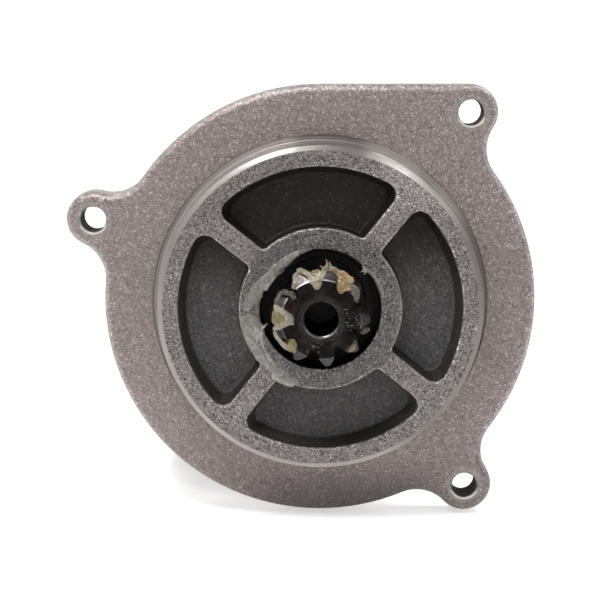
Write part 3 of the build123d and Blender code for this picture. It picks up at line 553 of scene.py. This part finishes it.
def oiled_shaft():
    """Ground shaft, black with old grease at its front end."""
    m = Mat("oiled_shaft", metallic=0.9, rough=0.3)
    t = m.noise(1.0, 2.0, 0.6, vec=m.combine(m.mul(m.radius(), 2600.0), m.mul(m.y, 2600.0), 0.0))
    w = m.noise(240, 3.0, 0.6)
    c = m.ramp(t, [(0.3, (0.33, 0.325, 0.32)), (0.7, (0.47, 0.46, 0.45))])
    dirty = m.step(m.y, 30 * MM, 12 * MM)
    c = m.mix(dirty, c, m.ramp(w, [(0.3, (0.006, 0.0055, 0.005)), (0.7, (0.016, 0.013, 0.010))]))
    m.color(c)
    m.rough(m.mixf(dirty, 0.26, m.lin(w, 0.3, 0.7, 0.35, 0.6)))
    m.metal(m.mixf(dirty, 0.95, 0.2))
    m.bump(t, 0.25, 0.00004)
    return m


slots = {s["node"]: s["material_slot"] for s in frame["record"]["subparts"]}
for name, obj in nodes.items():
    dress(obj, MATS[slots[name]])
dress(nodes["carrier_shaft"], oiled_shaft())


# ------------------------------------------------------------------ grease
def polar(r, a, y):
    """A point at radius r and angle a, degrees from +X, seen from the pinion end; y as in the frame. Millimetres."""
    return (r * math.cos(math.radians(a)), y, r * math.sin(math.radians(a)))


def grease_mat(name, thin, thick, tint, rough=0.28, clear=0.0, sss=0.3, speck=None):
    m = Mat(name, metallic=0.0, rough=rough)
    n = m.noise(260, 3.0, 0.6, dist=1.0)
    b = m.noise(120, 2.0, 0.5)
    c = m.ramp(n, [(0.30, thin), (0.50, thick), (0.72, tint)])
    c = m.mix(m.lin(b, 0.40, 0.65, 0.0, 0.5), c, thick)
    if speck:
        (r, a, y), size, colour = speck
        px, py, pz = (v * MM for v in polar(r, a, y))
        dx, dy, dz = (m.math("SUBTRACT", q, w) for q, w in ((m.x, px), (m.y, py), (m.z, pz)))
        d = m.math("SQRT", m.math("ADD", m.math("ADD", m.mul(dx, dx), m.mul(dy, dy)), m.mul(dz, dz)))
        d = m.math("ADD", d, m.mul(m.math("SUBTRACT", n, 0.5), size * 1.2 * MM))
        c = m.mix(m.mul(m.step(d, size * MM, size * 0.55 * MM), 0.85), c, colour)
    m.color(c)
    m.rough(m.lin(n, 0.3, 0.7, rough * 0.7, rough * 1.6))
    m.bsdf.inputs["Subsurface Weight"].default_value = sss
    m.bsdf.inputs["Subsurface Scale"].default_value = 0.0012
    m.bsdf.inputs["Transmission Weight"].default_value = clear
    m.bsdf.inputs["IOR"].default_value = 1.46
    m.bsdf.inputs["Coat Weight"].default_value = 0.25
    m.bsdf.inputs["Coat Roughness"].default_value = 0.25
    m.bump(m.math("ADD", m.mul(n, 0.9), m.mul(m.noise(800, 2.0, 0.6), 0.35)), 0.4, 0.00022)
    return m


CREAM = grease_mat("grease_cream", (0.095, 0.082, 0.045), (0.170, 0.147, 0.084), (0.330, 0.305, 0.225))
PALE = grease_mat("grease_pale", (0.100, 0.084, 0.062), (0.180, 0.155, 0.118), (0.300, 0.270, 0.222))
YELLOW = grease_mat("grease_yellow", (0.062, 0.050, 0.014), (0.115, 0.090, 0.026), (0.190, 0.165, 0.078))
AMBER = grease_mat("grease_amber", (0.085, 0.048, 0.012), (0.190, 0.122, 0.046), (0.400, 0.300, 0.185), speck=((14.3, 49.5, -32.8), 1.5, (0.070, 0.050, 0.012)))
SHADE = grease_mat("grease_dark", (0.010, 0.008, 0.004), (0.034, 0.029, 0.014), (0.085, 0.078, 0.045), 0.3)
VEIL = grease_mat("grease_veil", (0.060, 0.054, 0.045), (0.105, 0.096, 0.082), (0.180, 0.170, 0.150), 0.26, 0.15)
VEIL.bsdf.inputs["Alpha"].default_value = 0.72
FILM = grease_mat("grease_film", (0.170, 0.158, 0.136), (0.232, 0.218, 0.190), (0.340, 0.325, 0.292), 0.22, 0.0)
FILM.bsdf.inputs["Alpha"].default_value = 0.64
FILM.bsdf.inputs["Subsurface Weight"].default_value = 0.0
FOLD = grease_mat("grease_fold", (0.200, 0.190, 0.168), (0.290, 0.277, 0.248), (0.420, 0.405, 0.372), 0.22, 0.10)
FOLD.bsdf.inputs["Alpha"].default_value = 0.85
FOLD.bsdf.inputs["Subsurface Weight"].default_value = 0.0


def surf(r):
    """Y of the pinion's front: flat face, then the bevel, then just off the tips."""
    return -34.0 + max(0.0, min(r, 15.9) - 12.6) * 0.79


def inside(pts, x, z):
    hit = False
    for (x0, z0), (x1, z1) in zip(pts, pts[1:] + pts[:1]):
        if (z0 > z) != (z1 > z) and x < (x1 - x0) * (z - z0) / (z1 - z0) + x0:
            hit = not hit
    return hit


def gap_to(pts, x, z):
    best = 99.0
    for (x0, z0), (x1, z1) in zip(pts, pts[1:] + pts[:1]):
        dx, dz = x1 - x0, z1 - z0
        t = max(0.0, min(1.0, ((x - x0) * dx + (z - z0) * dz) / max(1e-9, dx * dx + dz * dz)))
        best = min(best, math.hypot(x - x0 - t * dx, z - z0 - t * dz))
    return best


def ball(x, z, y, vis):
    return (math.hypot(x, z), math.degrees(math.atan2(z, x)), y, vis)


def skin_of(pts, vis=0.42, lift=0.10, rim=0.30, rough=0.35, seed=1, pitch=0.40, dome=0.5, base=None):
    """Balls that fill a closed outline of (x, z) points as one skin of grease: thicker inside, with a rolled rim."""
    out = []
    xs, zs = [p[0] for p in pts], [p[1] for p in pts]
    j, z = 0, min(zs)
    while z <= max(zs):
        x = min(xs) + (pitch / 2 if j % 2 else 0)
        while x <= max(xs):
            if inside(pts, x, z):
                g = gap_to(pts, x, z)
                if g > vis * 0.45:
                    n = noise.noise(Vector((x * 0.55 + seed * 3.7, z * 0.55, seed))) + 0.5 * noise.noise(Vector((x * 1.6, z * 1.6 + seed, 7)))
                    v = vis * (0.85 + rough * n) + dome * min(0.5, 0.30 * max(0.0, g - vis))
                    y = (surf(math.hypot(x, z)) if base is None else base) - lift + rough * 0.25 * n
                    out.append(ball(x, z, y, max(0.22, v)))
            x += pitch
        z += pitch * 0.87
        j += 1
    if rim:
        for (x0, z0), (x1, z1) in zip(pts, pts[1:] + pts[:1]):
            k = max(1, int(math.hypot(x1 - x0, z1 - z0) / 0.3))
            for i in range(k):
                x, z = x0 + (x1 - x0) * i / k, z0 + (z1 - z0) * i / k
                n = noise.noise(Vector((x * 0.9, z * 0.9 + seed, 3)))
                out.append(ball(x * 0.995, z * 0.995, (surf(math.hypot(x, z)) if base is None else base) - lift - 0.08, max(0.16, rim * (1 + 0.6 * n))))
    return out


def run(rows, gap=0.32):
    """Balls close together along a line of (r, angle, y, visible radius) knots, so that they make one smooth strand."""
    out = []
    for k in range(len(rows) - 1):
        p, q = polar(*rows[k][:3]), polar(*rows[k + 1][:3])
        n = max(2, int(math.dist(p, q) / gap) + 1)
        for i in range(n):
            out.append(catmull(rows, (k + i / n) / (len(rows) - 1)))
    return out + [list(rows[-1])]


def lumps(name, balls, mat, body, fine=0.22, seed=1, ragged=0.10, smooth=2):
    """One mass of grease from overlapping lumps, each (r, angle, y, visible radius)."""
    data = bpy.data.metaballs.new(name + "_m")
    data.resolution = fine
    data.render_resolution = fine
    data.threshold = 0.6
    for b in balls:
        e = data.elements.new(type="BALL")
        e.co = polar(*b[:3])
        e.radius = max(b[3], 0.16) / 0.575
        e.stiffness = 2.0
    ob = bpy.data.objects.new(name + "_m", data)
    bpy.context.scene.collection.objects.link(ob)
    bpy.context.view_layer.update()
    dg = bpy.context.evaluated_depsgraph_get()
    me = bpy.data.meshes.new_from_object(ob.evaluated_get(dg), depsgraph=dg)
    bpy.data.objects.remove(ob)
    bpy.data.metaballs.remove(data)
    me.name = name
    bm = bmesh.new()
    bm.from_mesh(me)
    bmesh.ops.remove_doubles(bm, verts=bm.verts, dist=0.004)
    bmesh.ops.recalc_face_normals(bm, faces=bm.faces)
    for _ in range(smooth):
        bmesh.ops.smooth_vert(bm, verts=bm.verts, factor=0.5, use_axis_x=True, use_axis_y=True, use_axis_z=True)
    bm.normal_update()
    off = Vector((seed * 7.3, seed * 3.1, seed * 5.7))
    moves = [(noise.noise(v.co * 0.7 + off) * 1.3 + noise.noise(v.co * 2.1 + off) * 0.8) * ragged for v in bm.verts]
    for v, d in zip(bm.verts, moves):
        v.co += v.normal * d
    for v in bm.verts:
        v.co *= MM
    bm.to_mesh(me)
    bm.free()
    for p in me.polygons:
        p.use_smooth = True
    out = bpy.data.objects.new(name, me)
    bpy.context.scene.collection.objects.link(out)
    dress(out, mat)
    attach(out, body)
    return out


def catmull(rows, t):
    n = len(rows) - 1
    i = min(int(t * n), n - 1)
    u = t * n - i
    p0, p1, p2, p3 = rows[max(i - 1, 0)], rows[i], rows[i + 1], rows[min(i + 2, n)]
    return [0.5 * (2 * b + (c - a) * u + (2 * a - 5 * b + 4 * c - d) * u * u + (3 * b - a - 3 * c + d) * u ** 3) for a, b, c, d in zip(p0, p1, p2, p3)]


def smear(name, rows, mat, body, seed=3, wave=0.35, steps=150, across=16, under=0.12):
    """A film of grease along an arc. rows: (angle, inner r, outer r, y of the surface under it at the inner edge, at the outer edge, thickness)."""
    off = Vector((seed * 9.1, seed * 2.3, 1.7))
    top, bot = [], []
    for i in range(steps + 1):
        t = i / steps
        a, ri, ro, yi, yo, th = catmull(rows, t)
        end = min(1.0, min(t, 1 - t) / 0.045) ** 0.5
        ri += noise.noise(Vector((a * 0.16, seed, 0)) ) * wave + noise.noise(Vector((a * 0.6, seed, 5))) * wave * 0.5
        ro += noise.noise(Vector((a * 0.14, seed, 9))) * wave + noise.noise(Vector((a * 0.55, seed, 2))) * wave * 0.5
        mid, half = (ri + ro) / 2, max(0.12, (ro - ri) / 2) * (0.25 + 0.75 * end)
        rt, rb = [], []
        for j in range(across + 1):
            u = -1 + 2 * j / across
            r = mid + half * u
            dome = max(0.0, 1 - abs(u) ** 3.2)
            y = yi + (yo - yi) * (u + 1) / 2
            x0, _, z0 = polar(r, a, 0)
            wr = noise.noise(Vector((x0 * 0.33, z0 * 0.33, 0)) + off)
            crease = 1 - min(1.0, abs(noise.noise(Vector((x0 * 0.42, z0 * 0.42, 4)) + off)) * 5.0)
            h = th * dome * (0.60 + 0.30 * wr + 0.30 * crease ** 2) * (0.3 + 0.7 * end)
            rt.append((x0 * MM, (y - max(0.015, h)) * MM, z0 * MM))
            rb.append((x0 * MM, (y + under * (0.15 + dome)) * MM, z0 * MM))
        top.append(rt)
        bot.append(rb)
    bm = bmesh.new()
    T = [[bm.verts.new(p) for p in row] for row in top]
    B = [[bm.verts.new(p) for p in row] for row in bot]
    for i in range(steps):
        for j in range(across):
            bm.faces.new((T[i][j], T[i][j + 1], T[i + 1][j + 1], T[i + 1][j]))
            bm.faces.new((B[i][j], B[i + 1][j], B[i + 1][j + 1], B[i][j + 1]))
        bm.faces.new((T[i][0], T[i + 1][0], B[i + 1][0], B[i][0]))
        bm.faces.new((T[i][across], B[i][across], B[i + 1][across], T[i + 1][across]))
    for j in range(across):
        bm.faces.new((T[0][j], B[0][j], B[0][j + 1], T[0][j + 1]))
        bm.faces.new((T[steps][j], T[steps][j + 1], B[steps][j + 1], B[steps][j]))
    bmesh.ops.recalc_face_normals(bm, faces=bm.faces)
    me = bpy.data.meshes.new(name)
    bm.to_mesh(me)
    bm.free()
    for p in me.polygons:
        p.use_smooth = True
    ob = bpy.data.objects.new(name, me)
    bpy.context.scene.collection.objects.link(ob)
    dress(ob, mat)
    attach(ob, body)
    return ob


# grease drawn as a skin across the tooth space left of the top tooth, with its torn peak
WEB = [(-7.7, 15.9), (-6.6, 16.3), (-4.9, 15.5), (-3.3, 14.7), (-1.5, 14.5), (-0.2, 15.2), (0.5, 16.3), (1.4, 16.9), (2.7, 16.8), (3.9, 16.6), (5.2, 15.9), (7.0, 15.1), (6.8, 14.3), (5.2, 14.5), (4.3, 15.0), (3.4, 15.5),
       (2.5, 15.7), (1.7, 15.3), (1.1, 14.5), (0.4, 13.3), (0.0, 12.0), (-0.4, 10.7), (-1.1, 9.9), (-1.9, 9.9), (-2.6, 10.9), (-3.4, 11.9), (-4.0, 12.8), (-4.7, 13.8), (-5.7, 14.5), (-6.6, 14.8), (-7.4, 14.7)]
web = skin_of(WEB, 0.36, 0.10, 0.26, 0.22, 2, dome=0.15)
web += run([(11.8, 98.0, -32.0, 1.1), (12.2, 98.0, -29.0, 1.7), (12.4, 98.0, -26.0, 1.8), (12.4, 98.0, -22.5, 1.7)], 0.8)
web += run([(16.0, 117.0, -30.6, 0.50), (16.0, 117.5, -28.6, 0.45), (15.9, 118.0, -26.4, 0.40)]) + run([(16.0, 80.0, -30.6, 0.60), (16.0, 79.0, -28.8, 0.50), (15.9, 78.0, -26.5, 0.42)])
lumps("grease_web", web, CREAM, "pinion_gear", seed=2, ragged=0.14, smooth=3)
peak = run([(16.4, 83.0, -31.5, 0.50), (17.1, 83.5, -31.5, 0.40), (17.8, 84.2, -31.5, 0.26), (18.5, 84.6, -31.6, 0.16), (19.1, 85.6, -31.7, 0.12)], 0.12)
peak += run([(16.8, 80.5, -31.4, 0.36), (17.5, 80.6, -31.5, 0.22), (18.1, 81.6, -31.6, 0.13), (18.4, 82.6, -31.6, 0.11)], 0.12)
peak += run([(16.3, 76.5, -31.4, 0.36), (16.9, 75.4, -31.5, 0.20), (17.3, 74.2, -31.6, 0.12)], 0.12) + run([(16.1, 71.5, -31.4, 0.30), (16.7, 69.8, -31.6, 0.14)], 0.12)
peak += run([(15.9, 87.2, -31.7, 0.30), (16.6, 89.2, -31.8, 0.17), (17.0, 91.2, -31.8, 0.11)], 0.12) + run([(15.0, 91.0, -31.9, 0.32), (15.7, 93.0, -32.0, 0.15), (16.0, 94.2, -32.0, 0.11)], 0.12)
peak += run([(16.7, 114.8, -31.1, 0.34), (17.2, 113.6, -31.2, 0.22), (17.5, 112.8, -31.2, 0.13)], 0.12)
lumps("grease_peak", peak, CREAM, "pinion_gear", fine=0.11, seed=3, ragged=0.03, smooth=1)
# thin coat down the left side of the tooth beside the web
VEIL_L = [(-8.9, 14.0), (-7.4, 15.5), (-6.8, 14.7), (-7.5, 13.7), (-8.1, 12.3), (-8.3, 10.7), (-8.6, 9.8), (-9.4, 10.1), (-9.1, 12.0)]
lumps("grease_veil_top", skin_of(VEIL_L, 0.34, 0.02, 0.22, 0.4, 5), PALE, "pinion_gear", seed=5, ragged=0.10)
# thick amber lump in the next space, rough on top, spilling on to the tooth at its right
LUMP = [(5.0, 15.3), (6.8, 15.1), (7.8, 14.2), (8.9, 13.4), (10.0, 12.6), (10.1, 11.8), (9.7, 11.1), (9.5, 10.1), (8.7, 9.6), (7.7, 9.9), (6.8, 9.3), (6.0, 8.8), (5.4, 9.3), (5.1, 10.2), (5.5, 11.2), (5.1, 12.3), (5.4, 13.4), (4.9, 14.6)]
amber = skin_of(LUMP, 0.50, 0.15, 0.30, 0.8, 7, dome=1.3)
amber += run([(12.6, 58.0, -31.0, 1.6), (12.8, 58.0, -27.0, 1.8), (12.6, 58.0, -23.0, 1.6)], 0.8)
amber += [(16.3, 65.0, -31.4, 0.40), (16.5, 60.5, -31.5, 0.34), (16.3, 56.5, -31.6, 0.36), (16.4, 53.0, -31.6, 0.28), (15.9, 50.0, -31.8, 0.34), (14.7, 56.0, -33.6, 0.60), (14.3, 62.0, -33.6, 0.55), (13.6, 50.5, -33.9, 0.60), (12.4, 57.5, -34.6, 0.60)]
lumps("grease_amber_lump", amber, AMBER, "pinion_gear", fine=0.20, seed=7, ragged=0.30, smooth=1)
VEIL_R = [(9.7, 11.4), (11.6, 10.2), (12.3, 8.9), (12.1, 7.0), (11.6, 5.6), (10.7, 6.1), (10.1, 7.7), (9.3, 9.4)]
lumps("grease_veil_right", skin_of(VEIL_R, 0.30, 0.0, 0.20, 0.4, 15), VEIL, "pinion_gear", seed=15, ragged=0.08)
# dark olive smudge on the top edge of the tooth at 158 degrees, and the pale coat down its left
DARK = [(-13.2, 8.8), (-11.2, 9.4), (-8.6, 8.8), (-8.1, 7.0), (-9.1, 6.6), (-10.1, 7.9), (-12.0, 8.0)]
lumps("grease_smudge", skin_of(DARK, 0.34, 0.05, 0.24, 0.6, 16), SHADE, "pinion_gear", seed=16, ragged=0.16)
CROWN = [(-14.3, 7.0), (-13.4, 8.7), (-12.5, 8.2), (-13.3, 6.8), (-13.8, 4.9), (-13.9, 3.7), (-14.9, 4.0), (-14.8, 6.0)]
lumps("grease_crown", skin_of(CROWN, 0.36, 0.05, 0.26, 0.5, 17), VEIL, "pinion_gear", seed=17, ragged=0.12)
# left space: a yellow fill inside a pale skin that folds round it
FILL = [(-15.5, 2.4), (-13.9, 2.6), (-12.6, 1.9), (-11.6, 0.6), (-12.3, -0.9), (-13.7, -1.7), (-14.9, -2.2), (-15.6, -1.1), (-15.8, 0.5)]
fillin = skin_of(FILL, 0.42, -0.15, 0.24, 0.5, 4, dome=0.8) + run([(12.6, 178.0, -31.0, 1.5), (12.8, 178.0, -27.0, 1.7), (12.6, 178.0, -23.0, 1.6)], 0.8)
lumps("grease_left", fillin, YELLOW, "pinion_gear", seed=4, ragged=0.14)
CURL = [(-15.0, 4.5), (-13.8, 4.2), (-12.0, 2.9), (-9.8, 1.9), (-8.9, 0.2), (-9.3, -1.3), (-10.8, -1.5), (-11.8, -2.1), (-13.3, -3.1), (-14.9, -3.6), (-15.2, -2.7), (-13.9, -1.7), (-12.4, -1.0), (-11.3, -0.2), (-11.7, 1.4), (-13.2, 2.4), (-15.1, 2.8)]
curl = skin_of(CURL, 0.38, 0.25, 0.28, 0.4, 6)
curl += run([(9.3, 180.5, -34.7, 0.30), (8.9, 184.5, -34.8, 0.24), (9.2, 188.0, -34.8, 0.18), (9.0, 190.0, -34.8, 0.12)], 0.12)
curl += run([(14.6, 163.0, -32.6, 0.32), (12.4, 166.5, -34.2, 0.36), (10.4, 170.0, -34.7, 0.34), (9.5, 177.0, -34.8, 0.34), (9.9, 184.0, -34.8, 0.30), (11.4, 187.5, -34.5, 0.32), (13.2, 189.5, -33.6, 0.32), (14.8, 191.0, -32.4, 0.30)], 0.2)
lumps("grease_curl", curl, PALE, "pinion_gear", fine=0.18, seed=6, ragged=0.10)
LOW = [(-15.4, -2.9), (-14.5, -2.9), (-14.7, -4.1), (-13.8, -5.9), (-12.4, -7.5), (-10.8, -8.6), (-9.9, -9.4), (-9.7, -10.6), (-11.4, -9.9), (-12.9, -8.6), (-14.4, -6.8), (-15.3, -4.9)]
lumps("grease_rim", skin_of(LOW, 0.34, 0.05, 0.26, 0.4, 18), PALE, "pinion_gear", seed=18, ragged=0.10)
TIP = [(-10.8, -8.6), (-10.1, -6.6), (-8.7, -6.3), (-8.0, -7.6), (-8.1, -9.1), (-8.5, -11.0), (-9.7, -10.5)]
low = skin_of(TIP, 0.40, 0.05, 0.26, 0.5, 8, dome=0.8) + run([(12.6, 218.0, -31.5, 1.2), (12.4, 218.0, -28.0, 1.4), (12.2, 218.0, -24.5, 1.2)], 0.8)
lumps("grease_low", low, YELLOW, "pinion_gear", seed=8, ragged=0.14)
# thin dabs: on the nose wall side at the right, and along the edges of the lower teeth
DAB = [(12.5, -5.0), (13.9, -3.6), (15.4, -3.4), (15.6, -4.3), (14.8, -5.0), (13.4, -5.6)]
dabs = skin_of(DAB, 0.30, 0.0, 0.20, 0.4, 9, base=-29.0)
dabs += run([(13.3, 240.5, -33.3, 0.20), (14.6, 242.5, -32.3, 0.22), (15.6, 240.0, -31.5, 0.22), (15.5, 236.0, -31.5, 0.20)]) + run([(13.6, 322.0, -33.0, 0.20), (14.8, 320.5, -32.1, 0.24), (15.6, 317.0, -31.5, 0.22), (15.0, 313.5, -31.9, 0.20)])
lumps("grease_dabs", dabs, VEIL, "pinion_gear", seed=9, ragged=0.06)
SPOT = [(9.2, -8.8), (10.6, -8.0), (11.4, -8.9), (10.6, -10.2), (9.0, -10.9), (8.4, -10.2)]
lumps("grease_spot", skin_of(SPOT, 0.26, -0.05, 0.16, 0.4, 19), YELLOW, "pinion_gear", seed=19, ragged=0.06)

# smears on the nose ring
smear("smear_upper", [(98, 19.7, 20.6, -14.6, -15.0, 0.20), (108, 19.4, 20.9, -14.6, -15.0, 0.45), (116, 18.8, 20.9, -14.7, -15.0, 0.65), (124, 18.1, 21.2, -14.8, -15.0, 0.80), (132, 17.8, 21.6, -14.8, -15.0, 1.00), (140, 17.6, 21.6, -14.8, -15.0, 1.05),
      (148, 18.5, 22.0, -14.9, -15.0, 0.95), (155, 19.2, 23.0, -14.9, -15.0, 0.85), (163, 19.6, 24.0, -14.9, -15.0, 0.75), (170, 19.9, 24.9, -15.0, -15.0, 0.65), (176, 21.6, 25.6, -15.0, -15.0, 0.50), (181, 22.8, 25.9, -15.0, -15.0, 0.35)], FILM, "housing", 3, 0.45, 190, 22)
smear("smear_lower", [(184, 21.4, 26.2, -15, -15, 0.30), (190, 20.6, 26.7, -15, -15, 0.45), (196, 19.7, 26.8, -15, -15, 0.70), (202, 19.9, 26.8, -15, -15, 0.70), (209, 20.8, 26.9, -15, -15, 0.65), (217, 21.8, 26.9, -15, -15, 0.70),
      (226, 22.8, 27.0, -15, -15, 0.65), (234, 23.6, 27.0, -15, -15, 0.65), (241, 23.6, 27.0, -15, -15, 0.60), (248, 24.2, 26.9, -15, -15, 0.55), (254, 25.0, 26.6, -15, -15, 0.35)], FILM, "housing", 5, 0.7, 200, 26)
smear("smear_right", [(43, 19.3, 20.3, -14.6, -15.0, 0.35), (38, 19.8, 21.1, -14.8, -15.0, 0.45), (31, 20.2, 21.4, -15.0, -15.0, 0.40), (24, 20.4, 21.5, -15.0, -15.0, 0.35), (17, 20.6, 21.6, -15, -15, 0.30), (10, 20.9, 21.5, -15, -15, 0.16)], FILM, "housing", 11, 0.25, 90, 12)
tips = run([(19.7, 42.5, -15.2, 0.42), (19.0, 42.8, -15.3, 0.28), (18.4, 43.4, -15.4, 0.15)], 0.12) + run([(19.6, 40.5, -15.2, 0.36), (18.9, 40.2, -15.3, 0.22), (18.5, 39.4, -15.4, 0.12)], 0.12) + run([(20.0, 44.5, -15.1, 0.30), (19.7, 46.3, -15.1, 0.14)], 0.12)
tips += run([(20.2, 197.5, -15.2, 0.45), (19.4, 196.8, -15.3, 0.32), (18.7, 195.6, -15.4, 0.20), (18.2, 194.8, -15.4, 0.12)], 0.12)
lumps("smear_tips", tips, FOLD, "housing", fine=0.12, seed=12, ragged=0.03, smooth=1)
# thick patches where the films gather, and the folds running through the lower one
def patch(pts, seed, vis=0.40, lift=0.02, rim=0.24, dome=0.5):
    return skin_of(pts, vis, lift, rim, 0.6, seed, base=-15.05, dome=dome, pitch=0.5)


folds = patch([(-13.4, 15.6), (-11.6, 17.4), (-9.6, 18.6), (-7.6, 19.4), (-7.2, 18.6), (-9.0, 17.4), (-10.4, 15.6), (-11.8, 14.2), (-13.4, 13.4), (-14.6, 13.6)], 21)
folds += patch([(-17.6, 9.6), (-15.6, 12.0), (-14.6, 11.4), (-16.2, 9.0), (-17.8, 6.6), (-18.8, 6.8)], 22, 0.34)
folds += patch([(-16.0, -21.6), (-14.0, -22.2), (-11.6, -23.6), (-9.0, -24.8), (-9.2, -26.0), (-11.6, -25.6), (-14.2, -24.2), (-16.4, -22.8)], 23, 0.46, dome=0.9)
folds += patch([(-25.4, -6.4), (-22.0, -6.0), (-20.2, -7.4), (-19.0, -9.4), (-20.4, -10.2), (-22.6, -8.4), (-25.2, -8.0)], 24, 0.38)
folds += run([(19.8, 197, -15.3, 0.34), (21.4, 205, -15.4, 0.34), (22.4, 212, -15.4, 0.34), (23.2, 221, -15.4, 0.30), (23.8, 230, -15.3, 0.28)], 0.22)
folds += run([(26.0, 200, -15.2, 0.26), (24.8, 206, -15.4, 0.32), (24.2, 214, -15.5, 0.34), (25.0, 222, -15.4, 0.30), (25.8, 229, -15.3, 0.26)], 0.22)
folds += run([(22.6, 205, -15.4, 0.30), (24.6, 209, -15.4, 0.30), (26.2, 211, -15.2, 0.22)], 0.22) + run([(24.2, 239, -15.3, 0.26), (25.2, 240, -15.5, 0.34), (26.0, 236.5, -15.4, 0.24)], 0.22)
folds += run([(25.6, 191, -15.2, 0.28), (24.0, 196, -15.4, 0.32), (23.4, 202, -15.4, 0.30)], 0.22)
lumps("smear_folds", folds, FOLD, "housing", fine=0.17, seed=13, ragged=0.14)


# ------------------------------------------------------------------ springs
def spring(name, node, along=None):
    """A coil copied out of its node and fixed to the housing in the node's place. along picks one coil of a node that
    holds several.
    """
    src = nodes[node]
    ob = bpy.data.objects.new(name, src.data.copy())
    ob.data.transform(src.matrix_world)
    bpy.context.scene.collection.objects.link(ob)
    if along is not None:
        a = Vector(along)
        bm = bmesh.new()
        bm.from_mesh(ob.data)
        bmesh.ops.delete(bm, geom=[v for v in bm.verts if Vector((v.co.x, 0, v.co.z)).normalized().dot(a) < 0.7], context="VERTS")
        bm.to_mesh(ob.data)
        bm.free()
    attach(ob, "housing")
    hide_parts(node)
    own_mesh(ob)
    return ob


spring("return_spring_coil", "plunger_spring")
spring("contact_spring_coil", "contact_spring")
for letter, ax in (("a", (0.1218693, 0.0, -0.9925462)), ("b", (0.9925462, 0.0, 0.1218693)), ("c", (-0.1218693, 0.0, 0.9925462)), ("d", (-0.9925462, 0.0, -0.1218693))):
    spring("brush_spring_" + letter, "brush_springs", ax)


# ------------------------------------------------------------------ camera
SCALE = 2.95                     # pixels per millimetre at the flange face
DIST = 550.0
cam_data = bpy.data.cameras.new("camera")
cam_data.sensor_width = 36.0
cam_data.lens = SCALE * DIST * 36.0 / 600.0
cam = bpy.data.objects.new("camera", cam_data)
bpy.context.scene.collection.objects.link(cam)
EL = math.radians(9.5)
tx, tz = -20.0 / SCALE, 2.0 / SCALE
aim = Vector((tx * MM, 0, 0))
back = Vector((0, -math.cos(EL), math.sin(EL)))
up = Vector((0, math.sin(EL), math.cos(EL)))
cam.location = aim + back * (DIST * MM) + up * (tz * MM)
cam.rotation_euler = (math.radians(90) - EL, 0, 0)
cam_data.clip_start = 0.02
cam_data.clip_end = 80
bpy.context.scene.camera = cam

# ------------------------------------------------------------------ stage
FLOOR_Z = cad_box[0][2] - 0.4 * MM


def backdrop():
    """A pale round studio: a floor that curves up into a wall on every side, open at the top."""
    prof = [(0.0, 0.0), (0.35, 0.0), (1.9, 0.0)]
    for i in range(1, 25):
        a = math.radians(90 * i / 24)
        prof.append((1.9 + 1.0 * math.sin(a), 1.0 - 1.0 * math.cos(a)))
    prof.append((2.9, 2.6))
    bm = bmesh.new()
    count = 96
    hub = bm.verts.new((0, 0, FLOOR_Z))
    rings = []
    for r, z in prof[1:]:
        rings.append([bm.verts.new((r * math.cos(math.radians(360 * k / count)), r * math.sin(math.radians(360 * k / count)), FLOOR_Z + z)) for k in range(count)])
    for k in range(count):
        j = (k + 1) % count
        bm.faces.new((hub, rings[0][k], rings[0][j]))
        for i in range(len(rings) - 1):
            bm.faces.new((rings[i][k], rings[i + 1][k], rings[i + 1][j], rings[i][j]))
    me = bpy.data.meshes.new("studio_floor")
    bm.to_mesh(me)
    bm.free()
    for p in me.polygons:
        p.use_smooth = True
    ob = bpy.data.objects.new("studio_floor", me)
    bpy.context.scene.collection.objects.link(ob)
    m = Mat("studio_paper", metallic=0.0, rough=0.85, color=(0.9, 0.9, 0.9))
    n = m.noise(3.0, 2.0, 0.5)
    m.color(m.ramp(n, [(0.3, (0.86, 0.86, 0.86)), (0.7, (0.89, 0.89, 0.89))]))
    m.bsdf.inputs["Emission Color"].default_value = (1, 1, 1, 1)
    # the paper glows less close by and on the pinion's side, so that the front is lit mostly from above
    far = m.step(m.math("SQRT", m.math("ADD", m.mul(m.x, m.x), m.mul(m.y, m.y))), 0.14, 0.60)
    m.put(m.bsdf.inputs["Emission Strength"], m.mul(m.mixf(far, 0.46, 0.82), m.mixf(m.step(m.y, -0.16, -0.06), 0.22, 1.0)))
    m.bsdf.inputs["Specular IOR Level"].default_value = 0.1
    dress(ob, m)
    return ob


backdrop()

world = bpy.data.worlds.new("studio")
bpy.context.scene.world = world
world.use_nodes = True
bg = world.node_tree.nodes["Background"]
bg.inputs[0].default_value = (1, 1, 1, 1)
bg.inputs[1].default_value = 0.20
bpy.context.scene.view_settings.view_transform = "Standard"


def area(name, loc, look, size, power, size_y=None, color=(1, 1, 1)):
    d = bpy.data.lights.new(name, "AREA")
    d.energy = power
    d.color = color
    d.size = size
    if size_y:
        d.shape = "RECTANGLE"
        d.size_y = size_y
    o = bpy.data.objects.new(name, d)
    bpy.context.scene.collection.objects.link(o)
    o.location = loc
    o.rotation_euler = (Vector(look) - Vector(loc)).to_track_quat("-Z", "Y").to_euler()
    o.visible_camera = False
    return o


area("key_top", (-0.160, -0.26, 0.46), (0, 0, 0), 0.22, 2.4, 0.20)
area("rim_left", (-0.25, 0.06, 0.66), (0, 0, 0), 0.12, 0.8, 0.14)
area("rim_right", (0.40, 0.06, 0.60), (0, 0, 0), 0.055, 2.3, 0.14)
